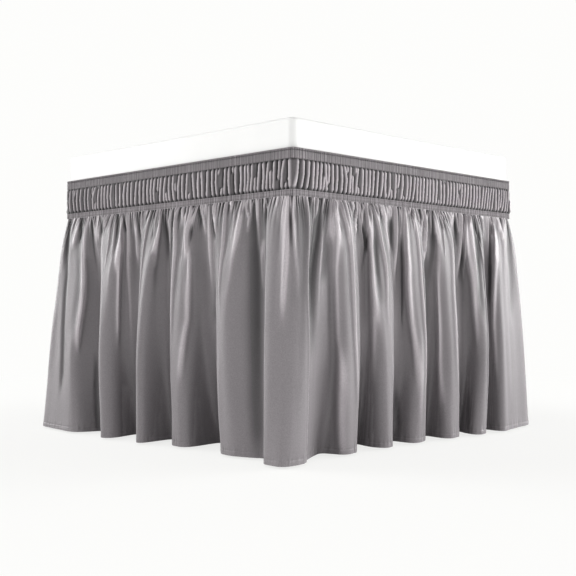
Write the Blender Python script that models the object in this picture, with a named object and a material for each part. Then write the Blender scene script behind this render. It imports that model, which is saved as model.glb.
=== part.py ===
"""A bed skirt stretched round a plain box spring: a shirred and ruched elastic heading with a
gathered ruffle that hangs from it in uneven folds down to the floor."""

import math
from collections import namedtuple

import bmesh
import bpy
import numpy as np

# Driving sizes, in metres. The faces of the heading stand at HALF_X and HALF_Y.
HALF_X, HALF_Y = 0.2600, 0.2535
CORNER_R = 0.012
TOP_Z = 0.400
TOP_BAND_H = 0.0165
LOWER_BAND_H = 0.0090
RUFFLE_TOP_Z = 0.3385
HEM_Z = 0.003
SEAM_GAP = 0.0003
BAND_T = 0.0018
CLOTH_T = 0.0012
SHIRR_H = 0.0007
BAND_COLUMNS = 80
RUCHE_H = 0.0030
RUCHES_FRONT, RUCHES_SIDE = 56, 54
BASE_GAP = 0.0006
BASE_TOP_Z, BASE_BOTTOM_Z, BASE_EDGE_R = 0.440, 0.240, 0.006
LEG_R, LEG_FOOT_R, LEG_INSET = 0.022, 0.017, 0.055

# A fold line runs down the ruffle. u is its distance along the face from the front right corner
# at five heights, out how far it stands off the heading just below it, and hem at the hem.
HEIGHTS = (0.0, 0.12, 0.30, 0.60, 1.0)
SEAM_OUT, FLARE_T = 0.0013, 0.08
FADE = {"crest": 1.0, "wall": 1.6, "valley": 2.6}
Fold = namedtuple("Fold", "kind u_top u_12 u_30 u_60 u_hem out hem")
FRONT_TABLE = (
    ("crest", 0.016, 0.015, 0.011, 0.006, -0.005, 0.0100, 0.0455),
    ("crest", 0.036, 0.036, 0.033, 0.025, 0.013, 0.0100, 0.0400),
    ("valley", 0.050, 0.049, 0.045, 0.038, 0.030, 0.0040, 0.0150),
    ("wall", 0.080, 0.078, 0.080, 0.078, 0.058, 0.0060, 0.0155),
    ("crest", 0.096, 0.099, 0.110, 0.104, 0.082, 0.0100, 0.0225),
    ("crest", 0.115, 0.115, 0.121, 0.114, 0.095, 0.0070, 0.0252),
    ("crest", 0.134, 0.132, 0.130, 0.126, 0.110, 0.0100, 0.0238),
    ("valley", 0.148, 0.147, 0.146, 0.146, 0.140, 0.0040, -0.0200),
    ("valley", 0.172, 0.173, 0.174, 0.180, 0.183, 0.0040, -0.0370),
    ("wall", 0.179, 0.183, 0.185, 0.190, 0.1845, 0.0070, 0.0050),
    ("crest", 0.186, 0.193, 0.196, 0.200, 0.188, 0.0100, 0.0190),
    ("crest", 0.203, 0.205, 0.210, 0.214, 0.200, 0.0070, 0.0222),
    ("crest", 0.230, 0.232, 0.231, 0.229, 0.217, 0.0100, 0.0195),
    ("valley", 0.242, 0.244, 0.243, 0.242, 0.238, 0.0040, -0.0080),
    ("valley", 0.254, 0.254, 0.257, 0.260, 0.2585, 0.0040, -0.0130),
    ("wall", 0.263, 0.261, 0.267, 0.271, 0.2625, 0.0070, 0.0120),
    ("crest", 0.270, 0.267, 0.276, 0.279, 0.2635, 0.0100, 0.0400),
    ("crest", 0.283, 0.284, 0.288, 0.287, 0.271, 0.0085, 0.0395),
    ("crest", 0.295, 0.300, 0.299, 0.293, 0.279, 0.0100, 0.0350),
    ("valley", 0.307, 0.311, 0.310, 0.306, 0.300, 0.0040, 0.0020),
    ("valley", 0.345, 0.340, 0.338, 0.338, 0.3385, 0.0040, -0.0060),
    ("wall", 0.358, 0.350, 0.352, 0.352, 0.3385, 0.0070, 0.0120),
    ("crest", 0.368, 0.360, 0.363, 0.362, 0.336, 0.0100, 0.0400),
    ("crest", 0.380, 0.375, 0.377, 0.374, 0.343, 0.0095, 0.0475),
    ("crest", 0.393, 0.399, 0.392, 0.379, 0.352, 0.0100, 0.0470),
    ("valley", 0.405, 0.412, 0.406, 0.398, 0.372, 0.0040, 0.0120),
    ("valley", 0.432, 0.434, 0.430, 0.422, 0.405, 0.0040, 0.0050),
    ("wall", 0.446, 0.445, 0.438, 0.436, 0.412, 0.0070, 0.0220),
    ("crest", 0.458, 0.456, 0.447, 0.450, 0.424, 0.0100, 0.0445),
    ("crest", 0.470, 0.471, 0.467, 0.463, 0.450, 0.0085, 0.0465),
    ("crest", 0.481, 0.487, 0.487, 0.477, 0.470, 0.0100, 0.0455),
    ("crest", 0.497, 0.501, 0.503, 0.500, 0.497, 0.0085, 0.0430),
    ("crest", 0.508, 0.511, 0.515, 0.519, 0.519, 0.0100, 0.0410),
)
SIDE_TABLE = (
    ("crest", 0.016, 0.014, 0.007, -0.002, -0.029, 0.0100, 0.0280),
    ("crest", 0.026, 0.021, 0.013, 0.008, -0.008, 0.0100, 0.0262),
    ("crest", 0.040, 0.034, 0.024, 0.020, 0.008, 0.0060, 0.0145),
    ("crest", 0.062, 0.050, 0.037, 0.034, 0.024, 0.0090, 0.0040),
    ("valley", 0.0665, 0.062, 0.055, 0.052, 0.050, 0.0040, -0.0090),
    ("valley", 0.069, 0.070, 0.071, 0.074, 0.071, 0.0040, -0.0145),
    ("wall", 0.071, 0.0745, 0.0755, 0.080, 0.0768, 0.0070, -0.0020),
    ("crest", 0.0735, 0.079, 0.080, 0.086, 0.083, 0.0100, 0.0095),
    ("crest", 0.088, 0.093, 0.096, 0.101, 0.098, 0.0075, 0.0125),
    ("crest", 0.101, 0.107, 0.112, 0.117, 0.111, 0.0100, 0.0100),
    ("valley", 0.113, 0.119, 0.124, 0.130, 0.136, 0.0040, -0.0200),
    ("valley", 0.130, 0.134, 0.138, 0.149, 0.166, 0.0040, -0.0360),
    ("wall", 0.137, 0.140, 0.144, 0.156, 0.160, 0.0070, -0.0040),
    ("crest", 0.142, 0.145, 0.149, 0.163, 0.166, 0.0100, 0.0115),
    ("crest", 0.150, 0.157, 0.166, 0.176, 0.177, 0.0080, 0.0132),
    ("crest", 0.158, 0.170, 0.185, 0.190, 0.188, 0.0100, 0.0100),
    ("valley", 0.172, 0.184, 0.196, 0.200, 0.202, 0.0040, -0.0100),
    ("valley", 0.216, 0.214, 0.216, 0.228, 0.2245, 0.0040, -0.0200),
    ("wall", 0.225, 0.222, 0.222, 0.235, 0.2275, 0.0070, -0.0030),
    ("crest", 0.231, 0.228, 0.228, 0.241, 0.229, 0.0100, 0.0115),
    ("crest", 0.237, 0.240, 0.245, 0.255, 0.243, 0.0085, 0.0140),
    ("crest", 0.243, 0.253, 0.263, 0.268, 0.266, 0.0100, 0.0080),
    ("valley", 0.256, 0.265, 0.275, 0.280, 0.281, 0.0040, -0.0060),
    ("valley", 0.284, 0.286, 0.290, 0.296, 0.302, 0.0040, -0.0160),
    ("wall", 0.290, 0.293, 0.296, 0.303, 0.302, 0.0070, -0.0010),
    ("crest", 0.295, 0.299, 0.302, 0.308, 0.302, 0.0100, 0.0175),
    ("crest", 0.307, 0.314, 0.318, 0.323, 0.315, 0.0080, 0.0220),
    ("crest", 0.320, 0.332, 0.336, 0.339, 0.334, 0.0100, 0.0190),
    ("valley", 0.333, 0.344, 0.349, 0.353, 0.348, 0.0040, 0.0040),
    ("valley", 0.368, 0.364, 0.370, 0.382, 0.376, 0.0040, -0.0080),
    ("wall", 0.374, 0.370, 0.377, 0.388, 0.368, 0.0070, 0.0100),
    ("crest", 0.380, 0.376, 0.384, 0.393, 0.367, 0.0100, 0.0250),
    ("crest", 0.394, 0.393, 0.398, 0.404, 0.381, 0.0085, 0.0295),
    ("crest", 0.409, 0.414, 0.416, 0.416, 0.400, 0.0100, 0.0220),
    ("valley", 0.421, 0.426, 0.426, 0.426, 0.413, 0.0040, 0.0080),
    ("valley", 0.445, 0.443, 0.434, 0.432, 0.4275, 0.0040, 0.0090),
    ("wall", 0.450, 0.448, 0.439, 0.436, 0.4245, 0.0070, 0.0220),
    ("crest", 0.455, 0.453, 0.445, 0.440, 0.428, 0.0100, 0.0355),
    ("crest", 0.471, 0.465, 0.459, 0.456, 0.446, 0.0085, 0.0345),
    ("crest", 0.486, 0.478, 0.475, 0.473, 0.468, 0.0100, 0.0315),
    ("crest", 0.491, 0.489, 0.492, 0.495, 0.494, 0.0085, 0.0260),
    ("crest", 0.4955, 0.500, 0.508, 0.516, 0.520, 0.0100, 0.0238),
)
FRONT_FOLDS = [Fold(*row) for row in FRONT_TABLE]
SIDE_FOLDS = [Fold(*row) for row in SIDE_TABLE]
# How far the fold on a corner stands beyond its side face and its front face, at those heights.
FRONT_RIGHT_CORNER = (
    (-0.0025, 0.0046, 0.0092, 0.0156, 0.0225),
    (-0.0025, 0.0046, 0.0092, 0.0185, 0.0425),
)
FRONT_LEFT_CORNER = (
    (-0.0025, 0.0046, 0.0092, 0.0125, 0.0125),
    (-0.0025, 0.0046, 0.0092, 0.0190, 0.0345),
)
RUFFLE_ROWS = (0.0, 0.05, 0.12, 0.24, 0.40, 0.60, 0.80, 1.0)


def material(name, colour, roughness, sheen=0.0):
    """A Principled material of its own for one piece."""
    made = bpy.data.materials.new(name)
    made.use_nodes = True
    shader = made.node_tree.nodes["Principled BSDF"]
    shader.inputs["Base Color"].default_value = (*colour, 1.0)
    shader.inputs["Roughness"].default_value = roughness
    shader.inputs["Sheen Weight"].default_value = sheen
    return made


def add_mesh(name, rings, faces, look):
    """One closed body from its points and faces, turned to face out."""
    mesh = bpy.data.meshes.new(name)
    mesh.from_pydata([tuple(p) for p in np.concatenate(rings)], [], faces)
    body = bmesh.new()
    body.from_mesh(mesh)
    bmesh.ops.triangulate(body, faces=body.faces)
    bmesh.ops.recalc_face_normals(body, faces=body.faces)
    body.to_mesh(mesh)
    body.free()
    mesh.materials.append(look)
    piece = bpy.data.objects.new(name, mesh)
    bpy.context.scene.collection.objects.link(piece)
    return piece


def strip(n, first, second):
    """Quads between two rings of n points each, whose first points are first and second."""
    return [
        (first + i, first + (i + 1) % n, second + (i + 1) % n, second + i) for i in range(n)
    ]


def zipped(one, two, first, second):
    """Triangles between two rings of unlike point counts, matched by their angle round Z."""
    turns = []
    for ring in (one, two):
        angle = -np.unwrap(np.arctan2(ring[:, 1], ring[:, 0]))
        turns.append(list(angle) + [angle[0] + 2 * math.pi])
    faces, i, j = [], 0, 0
    n, m = len(one), len(two)
    while i < n or j < m:
        if j == m or (i < n and turns[0][i + 1] <= turns[1][j + 1]):
            faces.append((first + i, first + (i + 1) % n, second + j % m))
            i += 1
        else:
            faces.append((first + i % n, second + (j + 1) % m, second + j))
            j += 1
    return faces


def loop_points(counts, outs, half_x=HALF_X, half_y=HALF_Y, radius=CORNER_R):
    """Points round a rectangle with rounded corners, from the front right corner along the front.

    counts holds the points per face, and outs how far each point stands off its face."""
    quarter = math.pi * radius / 2
    sides = [2 * (half_x - radius), 2 * (half_y - radius)] * 2
    middles = [(half_x, -half_y), (-half_x, -half_y), (-half_x, half_y), (half_x, half_y)]
    along = [(-1, 0), (0, 1), (1, 0), (0, -1)]
    points, n = [], 0
    for k, count in enumerate(counts):
        cx, cy = middles[k]
        centre = (cx - math.copysign(radius, cx), cy - math.copysign(radius, cy))
        (dx, dy), angle = along[k], -math.pi / 4 - k * math.pi / 2
        length = sides[k] + quarter
        for i in range(count):
            s, out = i / count * length, outs[n]
            n += 1
            # half a corner, the straight face, then half of the next corner
            if s < quarter / 2:
                turn, move = angle - s / radius, 0.0
            elif s < quarter / 2 + sides[k]:
                turn, move = angle - math.pi / 4, s - quarter / 2
            else:
                turn, move = angle - math.pi / 4 - (s - quarter / 2 - sides[k]) / radius, sides[k]
            r = radius + out
            points.append(
                (
                    centre[0] + dx * move + r * math.cos(turn),
                    centre[1] + dy * move + r * math.sin(turn),
                )
            )
    return np.array(points)


def rim_points(counts, out, half_x, half_y, radius):
    """Points round a rectangle only at its rounded corners, its faces straight between."""
    points = []
    for k, (sx, sy) in enumerate(((1, -1), (-1, -1), (-1, 1), (1, 1))):
        centre = (sx * (half_x - radius), sy * (half_y - radius))
        for i in range(counts[k]):
            turn = -k * math.pi / 2 - i / (counts[k] - 1) * math.pi / 2
            r = radius + out
            points.append((centre[0] + r * math.cos(turn), centre[1] + r * math.sin(turn)))
    return np.array(points)


def at_height(points, z):
    return np.column_stack([points, np.full(len(points), z)])


def closed_loop(name, outer, inner, look):
    """A body from rings that climb its outside and the two rings of its plain inside."""
    rings = [inner[0], *outer, inner[1]]
    starts = [int(n) for n in np.cumsum([0] + [len(ring) for ring in rings])]
    n, m, last = len(outer[0]), len(inner[0]), len(rings) - 1
    faces = zipped(rings[1], rings[0], starts[1], starts[0])
    faces += zipped(rings[-2], rings[-1], starts[last - 1], starts[last])
    for k in range(1, last - 1):
        faces += strip(n, starts[k], starts[k + 1])
    faces += strip(m, starts[last], starts[0])
    return add_mesh(name, rings, faces, look)


def inner_rings(low, high):
    points = rim_points([5] * 4, -BAND_T, HALF_X, HALF_Y, CORNER_R)
    return at_height(points, low), at_height(points, high)


def band(name, low, high, columns, look):
    """A flat elastic band round the base whose face carries upright shirring."""
    counts = [columns] * 4
    points = loop_points(counts, [SHIRR_H * (i % 2) for i in range(sum(counts))])
    outer = [at_height(points, low), at_height(points, high)]
    return closed_loop(name, outer, inner_rings(low, high), look)


def ruche_out(i, level):
    """How far the ruched panel's face stands out: a swell with an uneven ridge per ruche."""
    uneven = 0.5 + 0.5 * math.sin(2.4 * (i // 2) + 1.3 * level) * math.sin(0.7 * (i // 2))
    ridge = (0.55 + 0.45 * uneven) if i % 2 else 0.25 * uneven
    return RUCHE_H * ridge * (1.0, 0.92)[level]


def ruched_panel(name, low, high, look):
    """The heading's middle: flat inside, with a raised ruche every 9 mm or so outside."""
    counts = [2 * RUCHES_FRONT, 2 * RUCHES_SIDE] * 2
    many, height = sum(counts), high - low
    edge = loop_points(counts, [0.0003] * many)
    swell = [
        loop_points(counts, [ruche_out(i, level) for i in range(many)]) for level in (0, 1)
    ]
    outer = [
        at_height(edge, low),
        at_height(swell[0], low + 0.24 * height),
        at_height(swell[1], low + 0.80 * height),
        at_height(edge, high),
    ]
    return closed_loop(name, outer, inner_rings(low, high), look)


def between(values, t):
    """A smooth value at height t from those at HEIGHTS."""
    h = np.array(HEIGHTS)
    v = np.array(values)
    slope = np.gradient(v, h)
    k = min(max(int(np.searchsorted(h, t)) - 1, 0), len(h) - 2)
    w = h[k + 1] - h[k]
    x = (t - h[k]) / w
    return (
        v[k] * (1 + 2 * x) * (1 - x) ** 2
        + slope[k] * w * x * (1 - x) ** 2
        + v[k + 1] * x**2 * (3 - 2 * x)
        + slope[k + 1] * w * x**2 * (x - 1)
    )


def stands_out(fold, t):
    """How far a fold line stands off its face at height t."""
    swell = (fold.out - SEAM_OUT) * (1 - math.exp(-t / FLARE_T))
    return SEAM_OUT + swell + (fold.hem - fold.out) * t ** FADE[fold.kind]


def quarter_lines(t):
    """The fold lines from the front right corner round to the back left one, seen from above."""
    lines = []
    for fold in reversed(SIDE_FOLDS[:2]):
        lines.append((HALF_X + stands_out(fold, t), -HALF_Y + between(fold[1:6], t)))
    dx, dy = (between(side, t) for side in FRONT_RIGHT_CORNER)
    lines.append((HALF_X + dx, -HALF_Y - dy))
    for fold in FRONT_FOLDS:
        lines.append((HALF_X - between(fold[1:6], t), -HALF_Y - stands_out(fold, t)))
    dx, dy = (between(side, t) for side in FRONT_LEFT_CORNER)
    lines.append((-HALF_X - dx, -HALF_Y - dy))
    for fold in reversed(SIDE_FOLDS[2:]):
        lines.append((-HALF_X - stands_out(fold, t), HALF_Y - between(fold[1:6], t)))
    return lines


def fold_lines(t):
    """All fold lines at height t: the two unseen faces repeat the folds of the other two."""
    half = np.array(quarter_lines(t))
    return np.concatenate([half, -half])


def fold_knots():
    """Where each fold line lies along the cloth, the same at every height."""
    steps = 0
    for t in HEIGHTS:
        lines = fold_lines(t)
        steps = steps + np.linalg.norm(np.roll(lines, -1, axis=0) - lines, axis=1)
    return np.concatenate([[0.0], np.cumsum(steps / len(HEIGHTS))])


def section(t, places, knots):
    """The ruffle's outline at height t, a smooth closed curve through its fold lines."""
    lines = fold_lines(t)
    n = len(lines)
    gaps = np.diff(knots)
    before, after = np.roll(gaps, 1)[:, None], gaps[:, None]
    back = (lines - np.roll(lines, 1, axis=0)) / before
    ahead = (np.roll(lines, -1, axis=0) - lines) / after
    slope = (back * after + ahead * before) / (before + after)
    k = np.clip(np.searchsorted(knots, places, side="right") - 1, 0, n - 1)
    w = gaps[k][:, None]
    x = ((places - knots[k]) / gaps[k])[:, None]
    j = (k + 1) % n
    return (
        lines[k] * (1 + 2 * x) * (1 - x) ** 2
        + slope[k] * w * x * (1 - x) ** 2
        + lines[j] * x**2 * (3 - 2 * x)
        + slope[j] * w * x**2 * (x - 1)
    )


def outward(points):
    """The direction out of the cloth at each point of a section."""
    tangent = np.roll(points, -1, axis=0) - np.roll(points, 1, axis=0)
    tangent /= np.linalg.norm(tangent, axis=1)[:, None]
    return np.column_stack([-tangent[:, 1], tangent[:, 0]])


def ruffle_places(knots):
    """The ruffle's columns: one on each fold line and one between each two."""
    return np.sort(np.concatenate([knots[:-1], (knots[:-1] + knots[1:]) / 2]))


def ruffle(name, look):
    """The gathered cloth: one sheet, closed into a ring, hanging in folds to the hem."""
    knots = fold_knots()
    places = ruffle_places(knots)
    outer, inner = [], []
    for t in RUFFLE_ROWS:
        points = section(t, places, knots)
        z = RUFFLE_TOP_Z - SEAM_GAP - t * (RUFFLE_TOP_Z - SEAM_GAP - HEM_Z)
        outer.append(at_height(points, z))
        inner.append(at_height(points - CLOTH_T * outward(points), z))
    rings = outer + inner[::-1]
    n, faces = len(places), []
    for k in range(len(rings)):
        faces += strip(n, k * n, (k + 1) % len(rings) * n)
    return add_mesh(name, rings, faces, look)


def box_spring(name, look):
    """The plain padded base that the heading is stretched round, its edges a little rounded."""
    inset = BAND_T + BASE_GAP
    half_x, half_y, radius = HALF_X - inset, HALF_Y - inset, CORNER_R - inset
    counts = [10] * 4
    profile = []
    for k in range(4):
        turn = k / 3 * math.pi / 2
        drop = BASE_EDGE_R * (1 - math.sin(turn))
        profile.append((-BASE_EDGE_R * (1 - math.cos(turn)), drop))
    levels = [(out, BASE_BOTTOM_Z + drop) for out, drop in reversed(profile)]
    levels += [(out, BASE_TOP_Z - drop) for out, drop in profile]
    levels.sort(key=lambda level: level[1])
    rings = [at_height(rim_points(counts, out, half_x, half_y, radius), z) for out, z in levels]
    n = sum(counts)
    faces = [tuple(range(n)), tuple(range((len(rings) - 1) * n, len(rings) * n))]
    for k in range(len(rings) - 1):
        faces += strip(n, k * n, (k + 1) * n)
    return add_mesh(name, rings, faces, look)


def leg(name, x, y, look):
    """A plain round leg under the base, tapered to its foot."""
    n = 20
    turn = np.arange(n) / n * 2 * math.pi
    circle = np.column_stack([np.cos(turn), np.sin(turn)])
    place = np.array([x, y])
    rings = [
        at_height(place + LEG_FOOT_R * circle, 0.0),
        at_height(place + LEG_R * circle, BASE_BOTTOM_Z - SEAM_GAP),
    ]
    faces = [tuple(range(n)), tuple(range(n, 2 * n)), *strip(n, 0, n)]
    return add_mesh(name, rings, faces, look)


def heading_looks():
    mauve = (0.30, 0.255, 0.275)
    return {
        "top": material("top_band_cloth", mauve, 0.50, 0.3),
        "ruche": material("ruched_cloth", mauve, 0.45, 0.3),
        "lower": material("lower_band_cloth", (0.27, 0.23, 0.25), 0.50, 0.3),
        "ruffle": material("ruffle_cloth", mauve, 0.42, 0.4),
    }


def build():
    for obj in list(bpy.data.objects):
        bpy.data.objects.remove(obj)
    looks = heading_looks()
    lower_top = RUFFLE_TOP_Z + LOWER_BAND_H
    top_low = TOP_Z - TOP_BAND_H
    band("heading_top_band", top_low, TOP_Z, BAND_COLUMNS, looks["top"])
    ruched_panel("heading_ruched_panel", lower_top + SEAM_GAP, top_low - SEAM_GAP, looks["ruche"])
    band("heading_lower_band", RUFFLE_TOP_Z, lower_top, BAND_COLUMNS, looks["lower"])
    ruffle("ruffle", looks["ruffle"])
    box_spring("box_spring", material("base_ticking", (0.86, 0.86, 0.85), 0.7))
    x, y = HALF_X - LEG_INSET, HALF_Y - LEG_INSET
    for name, sx, sy in (
        ("leg_front_right", 1, -1),
        ("leg_front_left", -1, -1),
        ("leg_back_left", -1, 1),
        ("leg_back_right", 1, 1),
    ):
        leg(name, sx * x, sy * y, material(name + "_paint", (0.80, 0.80, 0.79), 0.5))


build()
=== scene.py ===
"""Dresses the bed skirt on its box spring: fine folds, gathers, ruches, shirring, stitches and
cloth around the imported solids, then a camera and soft studio light."""

import math
from collections import namedtuple

import bpy
import numpy as np
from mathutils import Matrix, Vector


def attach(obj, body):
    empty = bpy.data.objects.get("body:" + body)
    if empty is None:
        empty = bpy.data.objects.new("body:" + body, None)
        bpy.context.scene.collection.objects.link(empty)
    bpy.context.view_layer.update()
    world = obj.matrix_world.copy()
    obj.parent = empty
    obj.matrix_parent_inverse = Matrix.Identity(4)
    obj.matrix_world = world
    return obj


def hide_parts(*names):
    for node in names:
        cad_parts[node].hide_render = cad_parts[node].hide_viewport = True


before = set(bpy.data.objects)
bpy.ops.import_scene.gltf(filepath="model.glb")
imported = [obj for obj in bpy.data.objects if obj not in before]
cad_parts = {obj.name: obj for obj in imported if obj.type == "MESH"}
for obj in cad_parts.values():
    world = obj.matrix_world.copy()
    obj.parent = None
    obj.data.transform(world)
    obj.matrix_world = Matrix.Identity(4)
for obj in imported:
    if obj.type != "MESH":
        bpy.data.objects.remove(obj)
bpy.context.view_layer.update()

SEED = 7

# Sizes of the solids, as in the part's source, in metres
HALF_X, HALF_Y = 0.2600, 0.2535
CORNER_R = 0.012
TOP_Z = 0.400
TOP_BAND_LOW, LOWER_BAND_LOW = 0.3835, 0.3385
RUFFLE_TOP_Z, HEM_Z = 0.3382, 0.003
BAND_T = 0.0018
BASE_TOP_Z, BASE_BOTTOM_Z = 0.440, 0.240
BASE_INSET = 0.0024

# ---------------------------------------------------------------- tables

# A height t is the share of the drop: 0 at the seam under the heading, 1 at the hem. Lengths in
# the tables are in tenths of a millimetre.

# A fold line runs down the ruffle. Each row gives its kind, its distance along the face from the
# front right corner at the seam, how far it has drifted from there at the other four HEIGHTS, and
# how far it stands off the heading just below it and at the hem.
HEIGHTS = (0.0, 0.12, 0.30, 0.60, 1.0)
FRONT_TABLE = (
    ("crest", 160, -10, -50, -100, -210, 100, 455), ("crest", 360, 0, -30, -110, -230, 100, 400),
    ("valley", 500, -10, -50, -120, -200, 40, 150), ("wall", 800, -20, 0, -20, -220, 60, 155),
    ("crest", 960, 30, 140, 80, -140, 100, 225), ("crest", 1150, 0, 60, -10, -200, 70, 252),
    ("crest", 1340, -20, -40, -80, -240, 100, 238), ("valley", 1480, -10, -20, -20, -80, 40, -200),
    ("valley", 1720, 10, 20, 80, 110, 40, -370), ("wall", 1790, 40, 60, 110, 55, 70, 50),
    ("crest", 1860, 70, 100, 140, 20, 100, 190), ("crest", 2030, 20, 70, 110, -30, 70, 222),
    ("crest", 2300, 20, 10, -10, -130, 100, 195), ("valley", 2420, 20, 10, 0, -40, 40, -80),
    ("valley", 2540, 0, 30, 60, 45, 40, -130), ("wall", 2630, -20, 40, 80, -5, 70, 120),
    ("crest", 2700, -30, 60, 90, -65, 100, 400), ("crest", 2830, 10, 50, 40, -120, 85, 395),
    ("crest", 2950, 50, 40, -20, -160, 100, 350), ("valley", 3070, 40, 30, -10, -70, 40, 20),
    ("valley", 3450, -50, -70, -70, -65, 40, -60), ("wall", 3580, -80, -60, -60, -195, 70, 120),
    ("crest", 3680, -80, -50, -60, -320, 100, 400), ("crest", 3800, -50, -30, -60, -370, 95, 475),
    ("crest", 3930, 60, -10, -140, -410, 100, 470), ("valley", 4050, 70, 10, -70, -330, 40, 120),
    ("valley", 4320, 20, -20, -100, -270, 40, 50), ("wall", 4460, -10, -80, -100, -340, 70, 220),
    ("crest", 4580, -20, -110, -80, -340, 100, 445), ("crest", 4700, 10, -30, -70, -200, 85, 465),
    ("crest", 4810, 60, 60, -40, -110, 100, 455), ("crest", 4970, 40, 60, 30, 0, 85, 430),
    ("crest", 5080, 30, 70, 110, 110, 100, 410),
)
SIDE_TABLE = (
    ("crest", 160, -20, -90, -180, -450, 100, 280), ("crest", 260, -50, -130, -180, -340, 100, 262),
    ("crest", 400, -60, -160, -200, -320, 60, 145), ("crest", 620, -120, -250, -280, -380, 90, 40),
    ("valley", 665, -45, -115, -145, -165, 40, -90), ("valley", 690, 10, 20, 50, 20, 40, -145),
    ("wall", 710, 35, 45, 90, 58, 70, -20), ("crest", 735, 55, 65, 125, 95, 100, 95),
    ("crest", 880, 50, 80, 130, 100, 75, 125), ("crest", 1010, 60, 110, 160, 100, 100, 100),
    ("valley", 1130, 60, 110, 170, 230, 40, -200), ("valley", 1300, 40, 80, 190, 360, 40, -360),
    ("wall", 1370, 30, 70, 190, 230, 70, -40), ("crest", 1420, 30, 70, 210, 240, 100, 115),
    ("crest", 1500, 70, 160, 260, 270, 80, 132), ("crest", 1580, 120, 270, 320, 300, 100, 100),
    ("valley", 1720, 120, 240, 280, 300, 40, -100), ("valley", 2160, -20, 0, 120, 85, 40, -200),
    ("wall", 2250, -30, -30, 100, 25, 70, -30), ("crest", 2310, -30, -30, 100, -20, 100, 115),
    ("crest", 2370, 30, 80, 180, 60, 85, 140), ("crest", 2430, 100, 200, 250, 230, 100, 80),
    ("valley", 2560, 90, 190, 240, 250, 40, -60), ("valley", 2840, 20, 60, 120, 180, 40, -160),
    ("wall", 2900, 30, 60, 130, 120, 70, -10), ("crest", 2950, 40, 70, 130, 70, 100, 175),
    ("crest", 3070, 70, 110, 160, 80, 80, 220), ("crest", 3200, 120, 160, 190, 140, 100, 190),
    ("valley", 3330, 110, 160, 200, 150, 40, 40), ("valley", 3680, -40, 20, 140, 80, 40, -80),
    ("wall", 3740, -40, 30, 140, -60, 70, 100), ("crest", 3800, -40, 40, 130, -130, 100, 250),
    ("crest", 3940, -10, 40, 100, -130, 85, 295), ("crest", 4090, 50, 70, 70, -90, 100, 220),
    ("valley", 4210, 50, 50, 50, -80, 40, 80), ("valley", 4450, -20, -110, -130, -175, 40, 90),
    ("wall", 4500, -20, -110, -140, -255, 70, 220),
    ("crest", 4550, -20, -100, -150, -270, 100, 355),
    ("crest", 4710, -60, -120, -150, -250, 85, 345),
    ("crest", 4860, -80, -110, -130, -180, 100, 315), ("crest", 4910, -20, 10, 40, 30, 85, 260),
    ("crest", 4955, 45, 125, 205, 245, 100, 238),
)
# How far the fold on a corner stands beyond its side face and its front face, in metres
FRONT_RIGHT_CORNER = (
    (-0.0025, 0.0046, 0.0092, 0.0156, 0.0225),
    (-0.0025, 0.0046, 0.0092, 0.0185, 0.0425),
)
FRONT_LEFT_CORNER = (
    (-0.0025, 0.0046, 0.0092, 0.0125, 0.0125),
    (-0.0025, 0.0046, 0.0092, 0.0190, 0.0345),
)

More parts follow.
